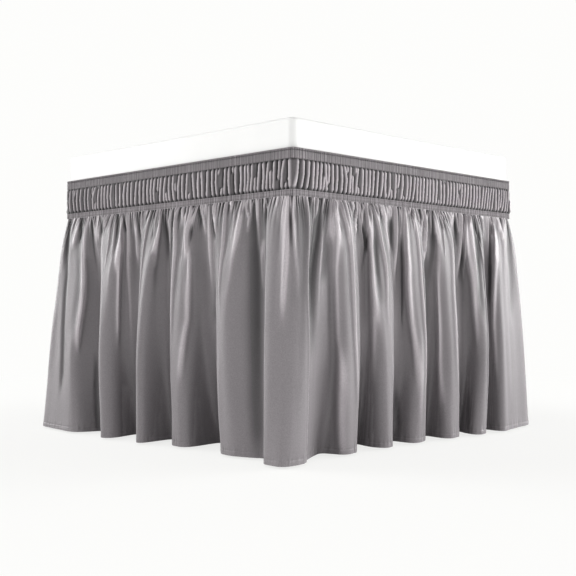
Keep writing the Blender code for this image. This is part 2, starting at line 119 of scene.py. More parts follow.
# A crease runs down the cloth between or on the folds. Each row gives where it starts and ends, in
# thousandths of the drop; its place along the cloth from the front right corner, and its drift at
# three more even steps; its height at start, middle and end, below 0 where it sinks; its width.
CREASE_TABLE = (
    (0, 446, -5726, 180, 186, 224, -15, -15, -15, 77), (0, 24, -5407, -5, -12, -17, 9, 11, 11, 13),
    (19, 840, -5362, 64, 55, 24, 24, 17, 6, 80), (0, 91, -5248, -17, -2, -15, 3, 12, 40, 46),
    (0, 46, -5178, -11, -20, -26, 7, 36, 44, 42), (0, 95, -5133, 22, 48, 75, 9, 3, 2, 26),
    (0, 759, -5031, -21, 11, -14, 39, 51, 10, 39), (0, 82, -5029, -15, -29, -25, -15, -15, -16, 32),
    (101, 221, -4974, -19, -36, -58, 55, 55, 51, 51),
    (95, 401, -4918, -33, -62, -51, -29, -29, -29, 19),
    (0, 66, -4915, -30, -75, -105, 9, 26, 29, 19), (0, 201, -4865, -16, -18, -5, 35, 20, 9, 36),
    (0, 21, -4773, 0, 3, 4, 31, 36, 36, 24), (0, 70, -4731, -29, -43, -38, 3, 30, 30, 20),
    (57, 704, -4698, 15, 30, 68, -13, -16, -10, 49), (121, 279, -4676, 5, 33, 75, -1, -5, -9, 62),
    (7, 64, -4665, 3, 9, 10, 8, 12, 6, 33), (251, 422, -4571, 7, 7, 41, -21, -16, -5, 47),
    (0, 983, -4531, -30, 73, 10, 20, 16, 12, 13),
    (58, 122, -4519, -15, -34, -30, -21, -27, -23, 27),
    (0, 436, -4519, 30, 103, 138, -8, -30, -30, 69), (60, 255, -4473, 1, 32, 47, -11, -6, -6, 38),
    (1, 597, -4372, 36, 100, 85, 43, 25, 11, 61), (958, 999, -4352, -16, -36, -50, 5, 9, 13, 63),
    (0, 49, -4352, 7, 32, 41, 37, 37, 37, 25), (220, 600, -4260, -10, -10, -20, 8, 25, 8, 40),
    (0, 291, -4220, 5, -13, -36, 49, 55, 19, 39),
    (817, 999, -4211, -10, -14, -37, -8, -15, -15, 58),
    (34, 268, -4164, -15, -13, 38, 9, 22, 22, 14), (30, 686, -4157, 33, 113, 119, -25, -4, -4, 37),
    (151, 297, -4149, 44, 98, 146, -9, -13, -10, 54), (0, 24, -4113, 0, 0, 0, 18, 18, 14, 32),
    (0, 282, -4065, -41, 40, 168, 55, 55, 22, 65), (0, 145, -3998, 25, 41, 34, -30, -20, -13, 34),
    (0, 88, -3991, -4, -7, -44, 38, 38, 22, 26), (45, 151, -3976, -25, -78, -73, -30, -9, -2, 35),
    (1, 67, -3909, -3, 20, 43, 30, 23, 10, 56), (173, 728, -3798, 38, 30, 24, -30, -30, -17, 80),
    (0, 36, -3785, -15, -26, -24, 11, 30, 44, 42), (0, 167, -3695, 77, 50, 65, -13, -5, -5, 16),
    (0, 82, -3683, 38, 77, 75, 23, 23, 9, 15), (109, 868, -3663, 89, 99, 31, 20, 32, 7, 57),
    (0, 161, -3599, 72, 122, 152, 20, 24, 24, 16), (0, 30, -3499, 5, 22, 39, 43, 31, 14, 42),
    (0, 999, -3389, 100, 96, -74, 17, 20, 6, 44), (0, 128, -3338, 33, 54, 11, 23, 30, 28, 20),
    (54, 95, -3334, 7, 13, 19, 23, 20, 10, 27), (0, 277, -3312, 46, 85, 178, -22, -12, -6, 48),
    (230, 850, -3270, -20, -40, -60, 10, 30, 20, 45), (0, 92, -3211, 5, 5, 2, 30, 24, 13, 20),
    (9, 36, -3162, 4, 12, 21, 14, 25, 36, 25), (0, 203, -3090, -13, 56, 147, 31, 52, 52, 36),
    (0, 115, -3054, 6, 60, 132, 13, 38, 23, 26), (231, 706, -3008, 45, 40, 25, -30, -30, -10, 80),
    (0, 84, -2952, -16, 7, 65, 7, 19, 19, 20), (0, 92, -2827, 81, 121, 136, 28, 30, 18, 20),
    (0, 867, -2790, 69, 77, 50, 32, 36, 6, 41), (3, 439, -2764, -37, -24, 7, -11, -9, -18, 32),
    (0, 34, -2628, 14, 46, 68, 55, 26, 4, 42), (550, 900, -2620, 0, -10, -20, 10, 25, 12, 45),
    (0, 735, -2444, -62, -67, -140, 55, 55, 19, 39),
    (169, 467, -2402, -3, 7, 47, -20, -20, -20, 13), (81, 122, -2382, 8, 11, 13, 11, 11, 7, 22),
    (106, 142, -2381, 10, 14, 3, 13, 11, 7, 22), (0, 69, -2374, 1, -6, -5, 30, 30, 19, 20),
    (794, 987, -2303, -64, -110, -123, -14, -13, -8, 44),
    (0, 294, -2295, 16, 58, 134, 47, 52, 20, 39), (0, 42, -2225, 3, 5, 9, 16, 28, 30, 25),
    (72, 340, -2210, 23, -15, -12, -22, -9, -1, 40), (0, 61, -2197, 0, 8, 19, 10, 11, 10, 33),
    (0, 76, -2157, -4, 14, 36, 48, 21, 4, 33), (42, 161, -2123, 21, 39, 40, -6, -12, -9, 35),
    (0, 189, -2102, 5, 52, 78, 24, 30, 24, 47), (0, 258, -2039, 80, 123, 122, -16, -8, -3, 36),
    (0, 28, -2030, -3, -4, -9, 47, 47, 22, 32), (0, 72, -1944, 13, 34, 79, 37, 37, 23, 25),
    (334, 729, -1891, 55, 46, 13, 1, 13, 15, 76), (0, 437, -1844, 17, 9, 50, 30, 48, 17, 33),
    (0, 500, -1748, 131, 132, 100, 25, 42, 15, 34), (143, 442, -1718, 29, 14, 3, -30, -24, -3, 58),
    (0, 115, -1716, 30, 24, 23, -11, -20, -9, 33), (0, 263, -1638, 27, 134, 270, -9, -12, -10, 13),
    (0, 136, -1635, 26, 42, 46, 25, 40, 40, 27), (250, 700, -1620, 20, 40, 60, 10, 30, 10, 45),
    (0, 160, -1531, 111, 132, 112, 29, 27, 10, 27), (489, 655, -1427, 5, 14, 21, 7, 9, 5, 47),
    (95, 179, -1413, -26, -70, -79, -30, -30, -30, 22), (0, 92, -1401, 27, 54, 64, 36, 20, 9, 26),
    (43, 121, -1353, 21, 52, 77, -17, -11, -11, 26),
    (0, 73, -1349, 33, 107, 179, -21, -19, -11, 25), (0, 122, -1332, 29, 123, 223, 38, 38, 38, 26),
    (0, 30, -1217, 4, 17, 30, 29, 29, 21, 19), (0, 69, -1093, 13, -15, 41, 18, 16, 16, 20),
    (0, 804, -971, 11, 17, -40, 47, 47, 11, 40), (0, 164, -900, 5, -13, -13, 40, 40, 17, 27),
    (0, 791, -745, 89, 61, -43, 53, 35, 6, 52), (46, 118, -739, 9, -33, -54, -15, -15, -15, 20),
    (640, 990, -724, -7, -19, -41, 35, 40, 30, 60), (0, 67, -716, 5, 56, 109, 27, 51, 41, 43),
    (0, 72, -694, 15, 24, 40, -23, -13, -6, 32), (0, 112, -641, 27, 92, 114, 18, 13, 7, 26),
    (303, 822, -607, 7, -34, -54, -10, -7, -5, 58), (91, 166, -570, -23, -32, -54, 55, 55, 27, 80),
    (158, 312, -445, -27, -42, -25, -8, -15, -15, 80),
    (60, 600, -240, 10, 20, 20, -55, -60, -15, 110),
    (0, 425, -227, -107, -141, -157, 4, 20, 10, 40), (0, 91, -171, -6, -12, 10, 50, 22, 3, 34),
    (0, 46, -96, 21, 26, 21, 20, 13, 6, 17), (0, 999, -60, -20, -70, -170, -8, -12, -12, 32),
    (0, 999, 40, -20, -50, -130, 10, 14, 14, 18), (0, 822, 145, -16, 16, -16, -16, -8, -3, 66),
    (0, 60, 285, -5, -9, -11, 14, 16, 10, 18), (0, 190, 318, -8, -14, -19, -30, -30, -12, 20),
    (0, 331, 320, -49, -63, -97, 30, 22, 9, 24), (0, 60, 350, 2, 2, 0, 14, 16, 10, 18),
    (0, 442, 353, -11, 12, 23, 30, 44, 29, 43), (0, 439, 435, -42, -9, 1, 19, 7, 3, 33),
    (0, 100, 538, -1, -33, -81, 30, 5, 2, 20), (0, 707, 717, -67, -96, -88, 3, 8, 8, 29),
    (0, 685, 847, -125, -124, -142, -30, -30, -7, 61), (0, 57, 850, -19, -78, -109, 23, 30, 10, 25),
    (0, 45, 854, 10, 21, 8, 6, 17, 20, 32), (185, 340, 903, 44, 49, 46, 24, 14, 6, 45),
    (0, 243, 1022, -1, -16, -41, 44, 21, 3, 38), (60, 950, 1040, 10, 20, 50, -30, -45, -25, 90),
    (0, 19, 1095, 3, 13, 21, 36, 36, 36, 24), (0, 60, 1169, -23, -31, -35, 10, 22, 16, 19),
    (0, 109, 1284, -50, -114, -99, 20, 30, 22, 20), (0, 450, 1356, 4, -1, 56, 51, 18, 7, 43),
    (0, 67, 1360, -16, -29, -5, -14, -24, -26, 32), (0, 136, 1521, -24, -65, -77, 19, 19, 6, 21),
    (0, 19, 1554, -1, -6, -9, 47, 36, 21, 32), (0, 19, 1580, 0, -8, -17, 34, 29, 25, 24),
    (19, 42, 1623, 7, 14, 14, 13, 13, 11, 25), (0, 386, 1639, -20, -74, -79, 47, 47, 23, 32),
    (452, 896, 1664, -27, 7, 39, 11, 18, 13, 66), (494, 885, 1786, -14, -24, -30, -30, -15, -5, 50),
    (0, 128, 1960, -7, -83, -174, 55, 49, 16, 58), (349, 462, 1977, 18, 47, 58, -14, -15, -15, 80),
    (0, 97, 1994, 4, -45, -99, -2, -3, -7, 25), (0, 133, 2124, -15, -87, -165, -3, -18, -24, 80),
    (0, 371, 2161, -49, -66, -86, 25, 36, 12, 53), (0, 33, 2312, -15, -39, -55, 10, 14, 12, 15),
    (30, 119, 2335, -57, -99, -122, 19, 29, 17, 27), (0, 28, 2447, -13, -34, -51, 20, 20, 16, 19),
    (18, 89, 2498, -61, -124, -120, -19, -15, -8, 33), (0, 88, 2592, -10, -5, 1, 38, 48, 48, 33),
    (0, 549, 2598, -25, -45, -50, -30, -26, -6, 26),
    (0, 717, 2689, -139, -145, -58, 55, 55, 22, 38), (66, 139, 2720, -4, -1, -19, -11, -6, -4, 27),
    (0, 221, 2756, -29, -58, -80, 34, 28, 6, 28), (0, 64, 2851, -23, -51, -62, 18, 28, 19, 43),
    (759, 999, 2860, -32, -17, 50, 2, 5, 11, 59), (0, 33, 2914, -5, -10, -6, 27, 23, 8, 19),
    (0, 561, 2942, -91, -73, -99, 51, 40, 8, 35), (758, 899, 2974, -7, -14, -19, -5, -7, -4, 71),
    (27, 340, 3081, -89, -86, -82, -30, -30, -30, 39), (0, 57, 3132, 8, 2, 5, 32, 31, 18, 33),
    (0, 116, 3138, 10, 40, 4, -7, -3, -3, 20), (0, 161, 3317, -86, -202, -270, 3, 18, 22, 46),
    (0, 42, 3374, -13, -22, -14, 8, 20, 20, 13), (0, 195, 3425, -96, -176, -196, -13, -11, -7, 35),
    (0, 331, 3469, 66, 17, -14, -10, -6, -5, 38), (0, 175, 3504, -12, 20, 48, 31, 41, 25, 28),
    (160, 242, 3524, -12, -24, -29, 19, 16, 9, 32), (0, 125, 3628, 5, -11, -13, 38, 38, 12, 26),
    (0, 122, 3671, -39, -52, -46, -22, -24, -25, 33), (0, 714, 3761, -15, -56, -91, 26, 11, 5, 17),
    (84, 714, 3880, -36, -52, -77, -23, -12, -12, 30), (0, 52, 3898, 20, 36, 26, 30, 18, 12, 42),
    (0, 104, 4074, -2, -27, -58, 38, 38, 20, 26), (0, 70, 4133, -26, -33, -30, -30, -26, -14, 32),
    (0, 139, 4188, -14, -64, -97, -20, -16, -11, 33), (0, 201, 4258, -45, -98, -108, 4, 31, 43, 47),
    (43, 146, 4340, 16, 17, 36, -7, -6, -3, 35), (0, 621, 4382, 11, -15, -27, 38, 25, 9, 36),
    (104, 473, 4421, 8, 10, 15, 8, 6, 5, 21), (0, 66, 4430, -14, -27, -26, 14, 22, 13, 33),
    (0, 70, 4522, -10, -18, -48, -1, -14, -30, 41), (0, 242, 4556, 1, 61, 56, 9, 49, 42, 37),
    (82, 555, 4558, 1, 6, 1, 41, 54, 26, 37), (0, 225, 4741, -35, -42, -6, -30, -18, -8, 46),
    (0, 433, 4769, -37, -60, -83, 28, 11, 4, 42), (0, 222, 4872, -29, -45, -36, 26, 24, 8, 17),
    (40, 622, 4980, -91, -128, -119, 5, 4, 1, 48), (84, 594, 5030, -54, -86, -99, -7, -10, -7, 47),
    (0, 39, 5104, -4, -63, -120, 19, 36, 55, 42), (0, 55, 5289, -29, -100, -155, 20, 20, 20, 13),
    (16, 103, 5353, 9, 2, -39, 4, 24, 34, 59), (0, 82, 5358, -37, -79, -103, -8, -14, -15, 25),
    (0, 25, 5422, -5, -18, -28, 10, 14, 16, 32), (685, 999, 5490, 21, 32, 32, -15, -15, -14, 35),
    (0, 230, 5517, -84, -166, -247, 18, 14, 10, 46),
    (0, 252, 5574, -75, -119, -183, -26, -9, -3, 17), (0, 57, 5578, 10, 36, 19, 11, 12, 4, 25),
    (0, 594, 5708, -3, -22, -2, 16, 55, 55, 46), (39, 412, 5758, -42, -63, -91, -15, -13, -9, 19),
    (22, 521, 5922, -99, -100, -80, -15, -15, -15, 77),
    (0, 95, 6006, -42, -138, -144, -29, -29, -29, 19), (0, 115, 6019, -20, -30, -14, 8, 21, 38, 44),
    (16, 343, 6366, -16, -35, -68, 6, 3, 3, 24),
    (10, 785, 6380, -248, -221, -268, -30, -30, -27, 59),
    (455, 740, 6441, -11, -12, -2, 13, 16, 11, 77),
)

# A ruche runs up the heading's panel. Each row gives its distance along the face from the front
# right corner at its low end, its drift at its middle and high end, and its strength. A row of six
# starts with where it begins and ends, in hundredths of the panel; the others run right up it.
FRONT_RUCHES = (
    (25, 54, 77, -12, -15, 11), (58, 2, 4, 20), (0, 24, 137, -11, -17, 14), (202, -9, -50, 24),
    (32, 100, 259, -14, -17, 18), (348, -7, -18, 25), (0, 68, 405, 1, -5, 25), (480, -15, -42, 27),
    (548, -22, -13, 36), (645, -21, -38, 30), (0, 53, 705, -7, -14, 21), (782, -28, -35, 25),
    (845, -27, -15, 26), (895, -10, -10, 26), (978, -18, -8, 32), (1062, 13, 9, 23),
    (74, 100, 1125, 1, 5, 18), (1194, 20, 9, 31), (1302, -12, -20, 23), (0, 31, 1369, -11, -26, 36),
    (74, 100, 1427, -20, -31, 23), (1449, 26, 15, 24), (1533, 22, 14, 26), (1665, -11, -17, 25),
    (1762, 3, 18, 30), (1846, 9, 1, 34), (1932, 21, 40, 23), (0, 28, 2055, -10, -25, 16),
    (2112, -8, -25, 20), (2191, 14, -1, 23), (2290, 2, -28, 25), (36, 71, 2355, 0, 3, 5),
    (2382, 34, 20, 29), (2481, 29, 11, 26), (0, 39, 2548, 12, 23, 23), (2616, 2, -34, 31),
    (2714, -9, -33, 25), (44, 100, 2771, -12, -24, 21), (2845, 17, -16, 25), (2919, 16, -7, 30),
    (3002, 13, -4, 29), (3105, 5, -8, 26), (3198, 7, -3, 29), (3318, -13, -40, 24),
    (3415, 0, -14, 24), (3505, 5, -11, 25), (3602, 8, -30, 26), (3710, -10, -5, 23),
    (3790, 15, 12, 18), (3925, 25, -6, 20), (4013, 20, 0, 24), (4106, 9, -7, 26),
    (4195, 0, -17, 27), (0, 89, 4285, 10, -21, 18), (0, 35, 4359, 1, 3, 16), (4421, 19, -69, 15),
    (60, 100, 4432, 13, -10, 16), (4547, 23, 3, 17), (4640, 27, 3, 14), (4760, 28, 3, 18),
    (4860, 28, 2, 20), (65, 96, 4967, -20, -35, 9), (4948, 42, 37, 16), (5071, 29, -2, 15),
)
SIDE_RUCHES = (
    (27, 43, 61, 26), (136, 49, 52, 33), (237, 43, 53, 38), (355, 12, 26, 41), (418, 22, 37, 37),
    (495, 17, 33, 40), (0, 54, 550, 15, 35, 33), (625, -15, -25, 39), (26, 100, 652, 17, 10, 38),
    (732, 10, 9, 41), (805, 25, 25, 38), (906, 24, 7, 37), (990, 27, -14, 43),
    (71, 100, 1032, 8, 10, 37), (1071, 19, 37, 41), (0, 69, 1135, 0, 3, 32),
    (75, 100, 1207, 7, 11, 33), (1195, 29, 60, 33), (0, 32, 1255, 0, -3, 34), (1326, 19, 24, 41),
    (1408, 17, 19, 42), (1477, 19, 28, 44), (1547, 26, 38, 41), (1642, 18, 41, 37),
    (1726, 40, 53, 39), (1840, -10, 5, 43), (1893, 48, 45, 36), (0, 39, 1967, 3, 1, 34),
    (2045, 17, 28, 42), (43, 100, 2112, 23, 33, 42), (2175, 45, 53, 42), (0, 22, 2238, 2, 2, 28),
    (2297, 38, 39, 40), (2366, 39, 49, 36), (2446, 47, 67, 35), (2555, 10, 25, 41),
    (2627, 12, 23, 42), (2696, 19, 30, 45), (2777, 23, 33, 45), (2860, 15, 22, 43),
    (2935, 25, 23, 39), (3010, 28, 42, 38), (0, 24, 3088, -3, 6, 19), (3138, 12, 2, 34),
    (0, 88, 3210, 21, 16, 41), (3303, 23, 19, 35), (3375, 22, 30, 41), (3455, 25, 28, 43),
    (3531, 29, 36, 31), (0, 57, 3605, 0, -6, 20), (65, 100, 3623, 7, 7, 27), (3652, 29, 43, 37),
    (3722, 40, 51, 43), (3803, 41, 55, 39), (3900, 28, 35, 36), (3985, 31, 35, 37),
    (4065, 25, 30, 37), (4145, 25, 30, 37), (4219, 36, 71, 33), (4292, 32, 78, 26),
    (4365, 34, 65, 28), (4430, 31, 77, 26), (4499, 45, 71, 33), (4625, 5, 15, 37),
    (4695, 20, 30, 33), (14, 100, 4750, 40, 55, 26), (4797, 64, 71, 31), (4888, 39, 42, 27),
    (4955, 35, 48, 22), (0, 56, 5065, -20, -10, 17),
)

# ---------------------------------------------------------------- shared


def add_piece(name, points, faces, smooth=True):
    """A mesh object from points and faces."""
    mesh = bpy.data.meshes.new(name)
    mesh.from_pydata(points if isinstance(points, list) else points.tolist(), [], faces)
    mesh.polygons.foreach_set("use_smooth", [smooth] * len(mesh.polygons))
    mesh.update()
    piece = bpy.data.objects.new(name, mesh)
    bpy.context.scene.collection.objects.link(piece)
    return piece


def mark(piece, name, values):
    """A value at each point of a piece, for its material."""
    layer = piece.data.attributes.new(name, "FLOAT", "POINT")
    layer.data.foreach_set("value", np.asarray(values, dtype=np.float32))


def grid_faces(rows, columns, first=0):
    """Quads of a sheet of rows by columns that closes round the base; it faces out."""
    i = np.arange(rows - 1)[:, None] * columns + first
    j = np.arange(columns)[None, :]
    k = (j + 1) % columns
    quads = np.stack([i + j, i + columns + j, i + columns + k, i + k], axis=-1)
    return quads.reshape(-1, 4).tolist()


def smoothstep(x):
    x = np.clip(x, 0.0, 1.0)
    return x * x * (3 - 2 * x)


def bell(x, middle, width):
    return math.exp(-(((x - middle) / width) ** 2))


def apart(places, place, total):
    """Signed distance from a place to others, the short way round the cloth."""
    return (places - place + total / 2) % total - total / 2


def hermite(a, b, slope_a, slope_b, w, x):
    """A cubic from a to b over width w with those slopes, at the share x of the way."""
    return (
        a * (1 + 2 * x) * (1 - x) ** 2
        + slope_a * w * x * (1 - x) ** 2
        + b * x**2 * (3 - 2 * x)
        + slope_b * w * x**2 * (x - 1)
    )


def periodic(n_max, rng, total):
    """A smooth random function that repeats after total, from its first n_max waves."""
    a = rng.normal(size=n_max) / np.sqrt(n_max)
    b = rng.uniform(0, 2 * math.pi, n_max)

    def value(s):
        s = np.asarray(s)[..., None]
        k = np.arange(1, n_max + 1)
        return (a * np.sin(2 * math.pi * k * s / total + b)).sum(-1)

    return value


# ---------------------------------------------------------------- folds

Fold = namedtuple("Fold", "kind u out hem")


def drifting(place, *drifts):
    """Places in metres from the first one and the drifts."""
    return (place + np.array((0, *drifts))) / 1e4


FRONT_FOLDS, SIDE_FOLDS = (
    [Fold(kind, drifting(*u), out / 1e4, hem / 1e4) for kind, *u, out, hem in table]
    for table in (FRONT_TABLE, SIDE_TABLE)
)
# The first two side folds come just before the front right corner on the way round. The others
# are met on the left face, and the right face is its copy, turned by 180 degrees.
NEAR_FOLDS, FAR_FOLDS = SIDE_FOLDS[1::-1], SIDE_FOLDS[:1:-1]
SEAM_OUT, FLARE_T = 0.0013, 0.08
FADE = {"crest": 1.0, "wall": 1.6, "valley": 2.6}


def between(values, t):
    """A smooth value at height t from those at HEIGHTS."""
    h = np.array(HEIGHTS)
    v = np.array(values)
    slope = np.gradient(v, h)
    k = min(max(int(np.searchsorted(h, t)) - 1, 0), len(h) - 2)
    w = h[k + 1] - h[k]
    return hermite(v[k], v[k + 1], slope[k], slope[k + 1], w, (t - h[k]) / w)


def stands_out(fold, t):
    """How far a fold line stands off its face at height t."""
    flare = (fold.out - SEAM_OUT) * (1 - math.exp(-t / FLARE_T))
    return SEAM_OUT + flare + (fold.hem - fold.out) * t ** FADE[fold.kind]


def quarter_lines(t):
    """The fold lines from the front right corner round to the back left one, seen from above."""
    lines = []
    for fold in NEAR_FOLDS:
        lines.append((HALF_X + stands_out(fold, t), -HALF_Y + between(fold.u, t)))
    dx, dy = (between(side, t) for side in FRONT_RIGHT_CORNER)
    lines.append((HALF_X + dx, -HALF_Y - dy))
    for fold in FRONT_FOLDS:
        lines.append((HALF_X - between(fold.u, t), -HALF_Y - stands_out(fold, t)))
    dx, dy = (between(side, t) for side in FRONT_LEFT_CORNER)
    lines.append((-HALF_X - dx, -HALF_Y - dy))
    for fold in FAR_FOLDS:
        lines.append((-HALF_X - stands_out(fold, t), HALF_Y - between(fold.u, t)))
    return lines


def fold_lines(t):
    """All fold lines at height t: the two unseen faces repeat the folds of the other two."""
    half = np.array(quarter_lines(t))
    return np.concatenate([half, -half])


def fold_knots():
    """Where each fold line lies along the cloth, the same at every height."""
    steps = 0
    for t in HEIGHTS:
        lines = fold_lines(t)
        steps = steps + np.linalg.norm(np.roll(lines, -1, axis=0) - lines, axis=1)
    return np.concatenate([[0.0], np.cumsum(steps / len(HEIGHTS))])


def section(t, places, knots):
    """The ruffle's outline at height t, a smooth closed curve through its fold lines."""
    lines = fold_lines(t)
    n = len(lines)
    gaps = np.diff(knots)
    before, after = np.roll(gaps, 1)[:, None], gaps[:, None]
    back = (lines - np.roll(lines, 1, axis=0)) / before
    ahead = (np.roll(lines, -1, axis=0) - lines) / after
    slope = (back * after + ahead * before) / (before + after)
    k = np.clip(np.searchsorted(knots, places, side="right") - 1, 0, n - 1)
    w = gaps[k][:, None]
    x = ((places - knots[k]) / gaps[k])[:, None]
    j = (k + 1) % n
    return hermite(lines[k], lines[j], slope[k], slope[j], w, x)


def outward(points):
    """The direction out of the cloth at each point of a section."""
    tangent = np.roll(points, -1, axis=0) - np.roll(points, 1, axis=0)
    tangent /= np.linalg.norm(tangent, axis=1)[:, None]
    return np.column_stack([-tangent[:, 1], tangent[:, 0]])


# ---------------------------------------------------------------- ruffle

# Heights of the mesh's rows: close together under the seam, where there are twice as many
# columns, and at the hem's turned edge
TOP_ROWS = (0, .0035, .008, .0135, .020, .028, .037, .048, .061, .076, .093, .112, .133, .156, .180)
LOW_ROWS = tuple(np.linspace(0.180, 0.950, 30)) + (
    0.9620, 0.9700, 0.9750, 0.9785, 0.9805, 0.9825, 0.9865, 0.993, 1.0)
# Widths of the columns: on smooth cloth, beside a long crease and at a fold's far crest; and how
# far those two keep the columns close, and how soon they then widen
PLACE_STEP, SMOOTH_STEP, CREASE_STEP, EDGE_STEP = 0.0002, 0.0026, 0.0009, 0.0008
LONG_CREASE_T = 0.16
CREASE_CLOSE, CREASE_WIDEN, EDGE_CLOSE, EDGE_WIDEN = 0.0022, 0.006, 0.002, 0.010

# How far a fold rounds out, as a share of its width, and the height where it fully does
LOBE_SWELL, LOBE_T = 0.08, 0.25
# Easing of the section's corners, and how far from a far crest it is left off and comes back
EASE, EASE_COUNT = 0.004, 4096
CREST_KEEP, CREST_BACK = 0.004, 0.012

# A crease fades in and out over a share of its length, within bounds, and runs on past its end.
FADE_SHARE, FADE_LEAST, FADE_MOST, RUN_ON = 0.4, 0.05, 0.15, 0.6
SHORTEST, FROM_SEAM, CREASE_REACH = 0.02, 0.03, 0.02
# It is narrower and lower at the seam, and a wide one shows less in the painted shade and
# highlight.
SEAM_PINCH, PINCH_T, SHARP_WIDTH = 0.70, 0.12, 0.0042
SEAM_LOW, SEAM_GAIN, SEAM_RISE_T = 0.55, 0.45, 0.012

# Tufts of the gathers just under the seam, and unevenness of three sizes
TUFT_PITCH, TUFT_LEVEL, TUFT_TALL, TUFT_FADE = 0.0085, 0.68, 0.0040, 0.032
TUFT_UNEVEN, TUFT_POWER = 1.3, 0.6
BROAD_WAVES, BROAD_TALL, BROAD_FROM, BROAD_OVER = 90, 0.0005, 0.15, 0.5
FINE_WAVES, FINE_TALL, FINE_T = 420, 0.0004, 0.10
TINY_WAVES, TINY_TALL, TINY_T = 700, 0.0004, 0.016
# The hem's turned edge: its height, thickness and the groove of its stitches
TURN_UP, TURN_OVER, TURN_TALL, GROOVE_DEEP, GROOVE_T = 0.9805, 0.002, 0.0002, 0.0002, 0.0022

# For the painted highlight and shade: a crease's full height, how much stronger creases and tufts
# show near the seam, and how much painted shade darkens the gathers there
CREST_FULL = 0.003
VIVID, VIVID_T, TUFT_VIVID = 1.8, 0.14, 4.5
SEAM_PAINTED_SHADE, SEAM_PAINTED_SHADE_T = 0.44, 0.22
# How many columns away the cloth on either side is looked at for the openness
OPEN_STEPS = (1, 2, 3, 4, 6, 8, 11, 15, 20, 27, 36, 48)


def crease_lines(total):
    """(first t, last t, places, heights, width) of each crease, and of its copy behind."""
    lines = []
    for t0, t1, *row, width in CREASE_TABLE:
        places, heights = drifting(*row[:4]), np.array(row[4:]) / 1e4
        for turn in (0, total / 2):
            lines.append((t0 / 1000, t1 / 1000, places + turn, heights, width / 1e4))
    return lines


def column_places(lines, spans, total):
    """Places of the columns: close together beside the long creases, wider on smooth cloth."""
    s = np.arange(0, total, PLACE_STEP)
    step = np.full(len(s), SMOOTH_STEP)

    def crowd(place, least, close, widen):
        d = np.abs(apart(s, place, total))
        np.minimum(step, least + (SMOOTH_STEP - least) * smoothstep((d - close) / widen), out=step)

    for t0, t1, places, heights, width in lines:
        if t1 >= LONG_CREASE_T:
            for place in places[1:3]:
                crowd(place, CREASE_STEP, CREASE_CLOSE, CREASE_WIDEN)
    for near, far in spans:
        crowd(far, EDGE_STEP, EDGE_CLOSE, EDGE_WIDEN)
    density = np.cumsum(PLACE_STEP / step)
    count = int(density[-1])
    return np.interp(np.arange(count) / count * density[-1], density, s)


def lobe_spans(knots):
    """(near valley, far crest) of each fold between two valleys, as places along the cloth."""
    kinds = [f.kind for f in NEAR_FOLDS] + ["corner"] + [f.kind for f in FRONT_FOLDS]
    kinds += ["corner"] + [f.kind for f in FAR_FOLDS]
    kinds *= 2
    spans, i, n = [], 0, len(kinds)
    while i < n:
        if kinds[i] == "valley" or kinds[i - 1] != "valley":
            i += 1
            continue
        j = i
        while kinds[j % n] != "valley":
            j += 1
        starts, ends = kinds[i] == "wall", kinds[(j - 1) % n] == "wall"
        if starts and not ends:
            spans.append((knots[i - 1], knots[j - 1]))
        elif ends and not starts:
            spans.append((knots[j], knots[i]))
        i = j
    return spans


def swell(t, places, spans, total):
    """How far each fold rounds out between its valley and its far crest."""
    out = np.zeros(len(places))
    for near, far in spans:
        width = abs(far - near)
        x = ((places - min(near, far)) % total) / width
        on = x < 1
        out[on] += LOBE_SWELL * min(1, t / LOBE_T) * width * np.sin(np.pi * x[on])
    return out


def softened(line, places, spans, total):
    """The section with its corners eased, but for the far crest of each fold."""
    even = np.arange(EASE_COUNT) / EASE_COUNT * total
    wave = np.exp(-2 * (math.pi * np.fft.rfftfreq(EASE_COUNT, total / EASE_COUNT) * EASE) ** 2)
    eased = []
    for axis in (0, 1):
        v = np.fft.rfft(np.interp(even, places, line[:, axis], period=total)) * wave
        eased.append(np.interp(places, even, np.fft.irfft(v, EASE_COUNT), period=total))
    share = np.ones(len(places))
    for near, far in spans:
        d = np.abs(apart(places, far, total))
        share = np.minimum(share, smoothstep((d - CREST_KEEP) / CREST_BACK))
    return line + (np.column_stack(eased) - line) * share[:, None]


def crease_relief(lines, places, scale, t, total):
    """How far the creases raise or sink the cloth at height t, and how much of it is sharp."""
    out, sharp = np.zeros(len(places)), np.zeros(len(places))
    for t0, t1, crease, heights, width in lines:
        fade = min(max(FADE_LEAST, FADE_SHARE * (t1 - t0)), FADE_MOST)
        if t > t1 + RUN_ON * fade or t < t0 - RUN_ON * fade:
            continue
        f = (t - t0) / max(t1 - t0, SHORTEST)
        place = np.interp(f, (0, 1 / 3, 2 / 3, 1), crease)
        tall = np.interp(f, (0, 0.5, 1), heights)
        ends = smoothstep((t1 + RUN_ON * fade - t) / fade)
        if t0 > FROM_SEAM:
            ends *= smoothstep((t - t0 + RUN_ON * fade) / fade)
        d = apart(places, place, total)
        near = np.abs(d) < CREASE_REACH
        pinch = SEAM_PINCH + (1 - SEAM_PINCH) * min(1, t / PINCH_T)
        bump = tall * ends * np.exp(-(d[near] * scale[near] / (width * pinch)) ** 2)
        out[near] += bump
        # The sharp part feeds only the painted highlight and shade, not the shape
        sharp[near] += bump * min(1, SHARP_WIDTH / width)
    return out, sharp


# The openness sets the painted shade deep between folds: less open cloth is painted darker
def openness(line):
    """How much of the half circle in front each point of a section sees, from 0 to 1."""
    normal = outward(line)
    along = np.column_stack([normal[:, 1], -normal[:, 0]])
    seen = 0.0
    for side in (1, -1):
        edge = np.full(len(line), math.pi / 2)
        for k in OPEN_STEPS:
            way = np.roll(line, -side * k, axis=0) - line
            ahead = (way * along).sum(1) * side
            angle = np.where(ahead > 0, np.arctan2(ahead, (way * normal).sum(1)), math.pi / 2)
            edge = np.minimum(edge, angle)
        seen = seen + 0.5 * np.sin(edge)
    return seen


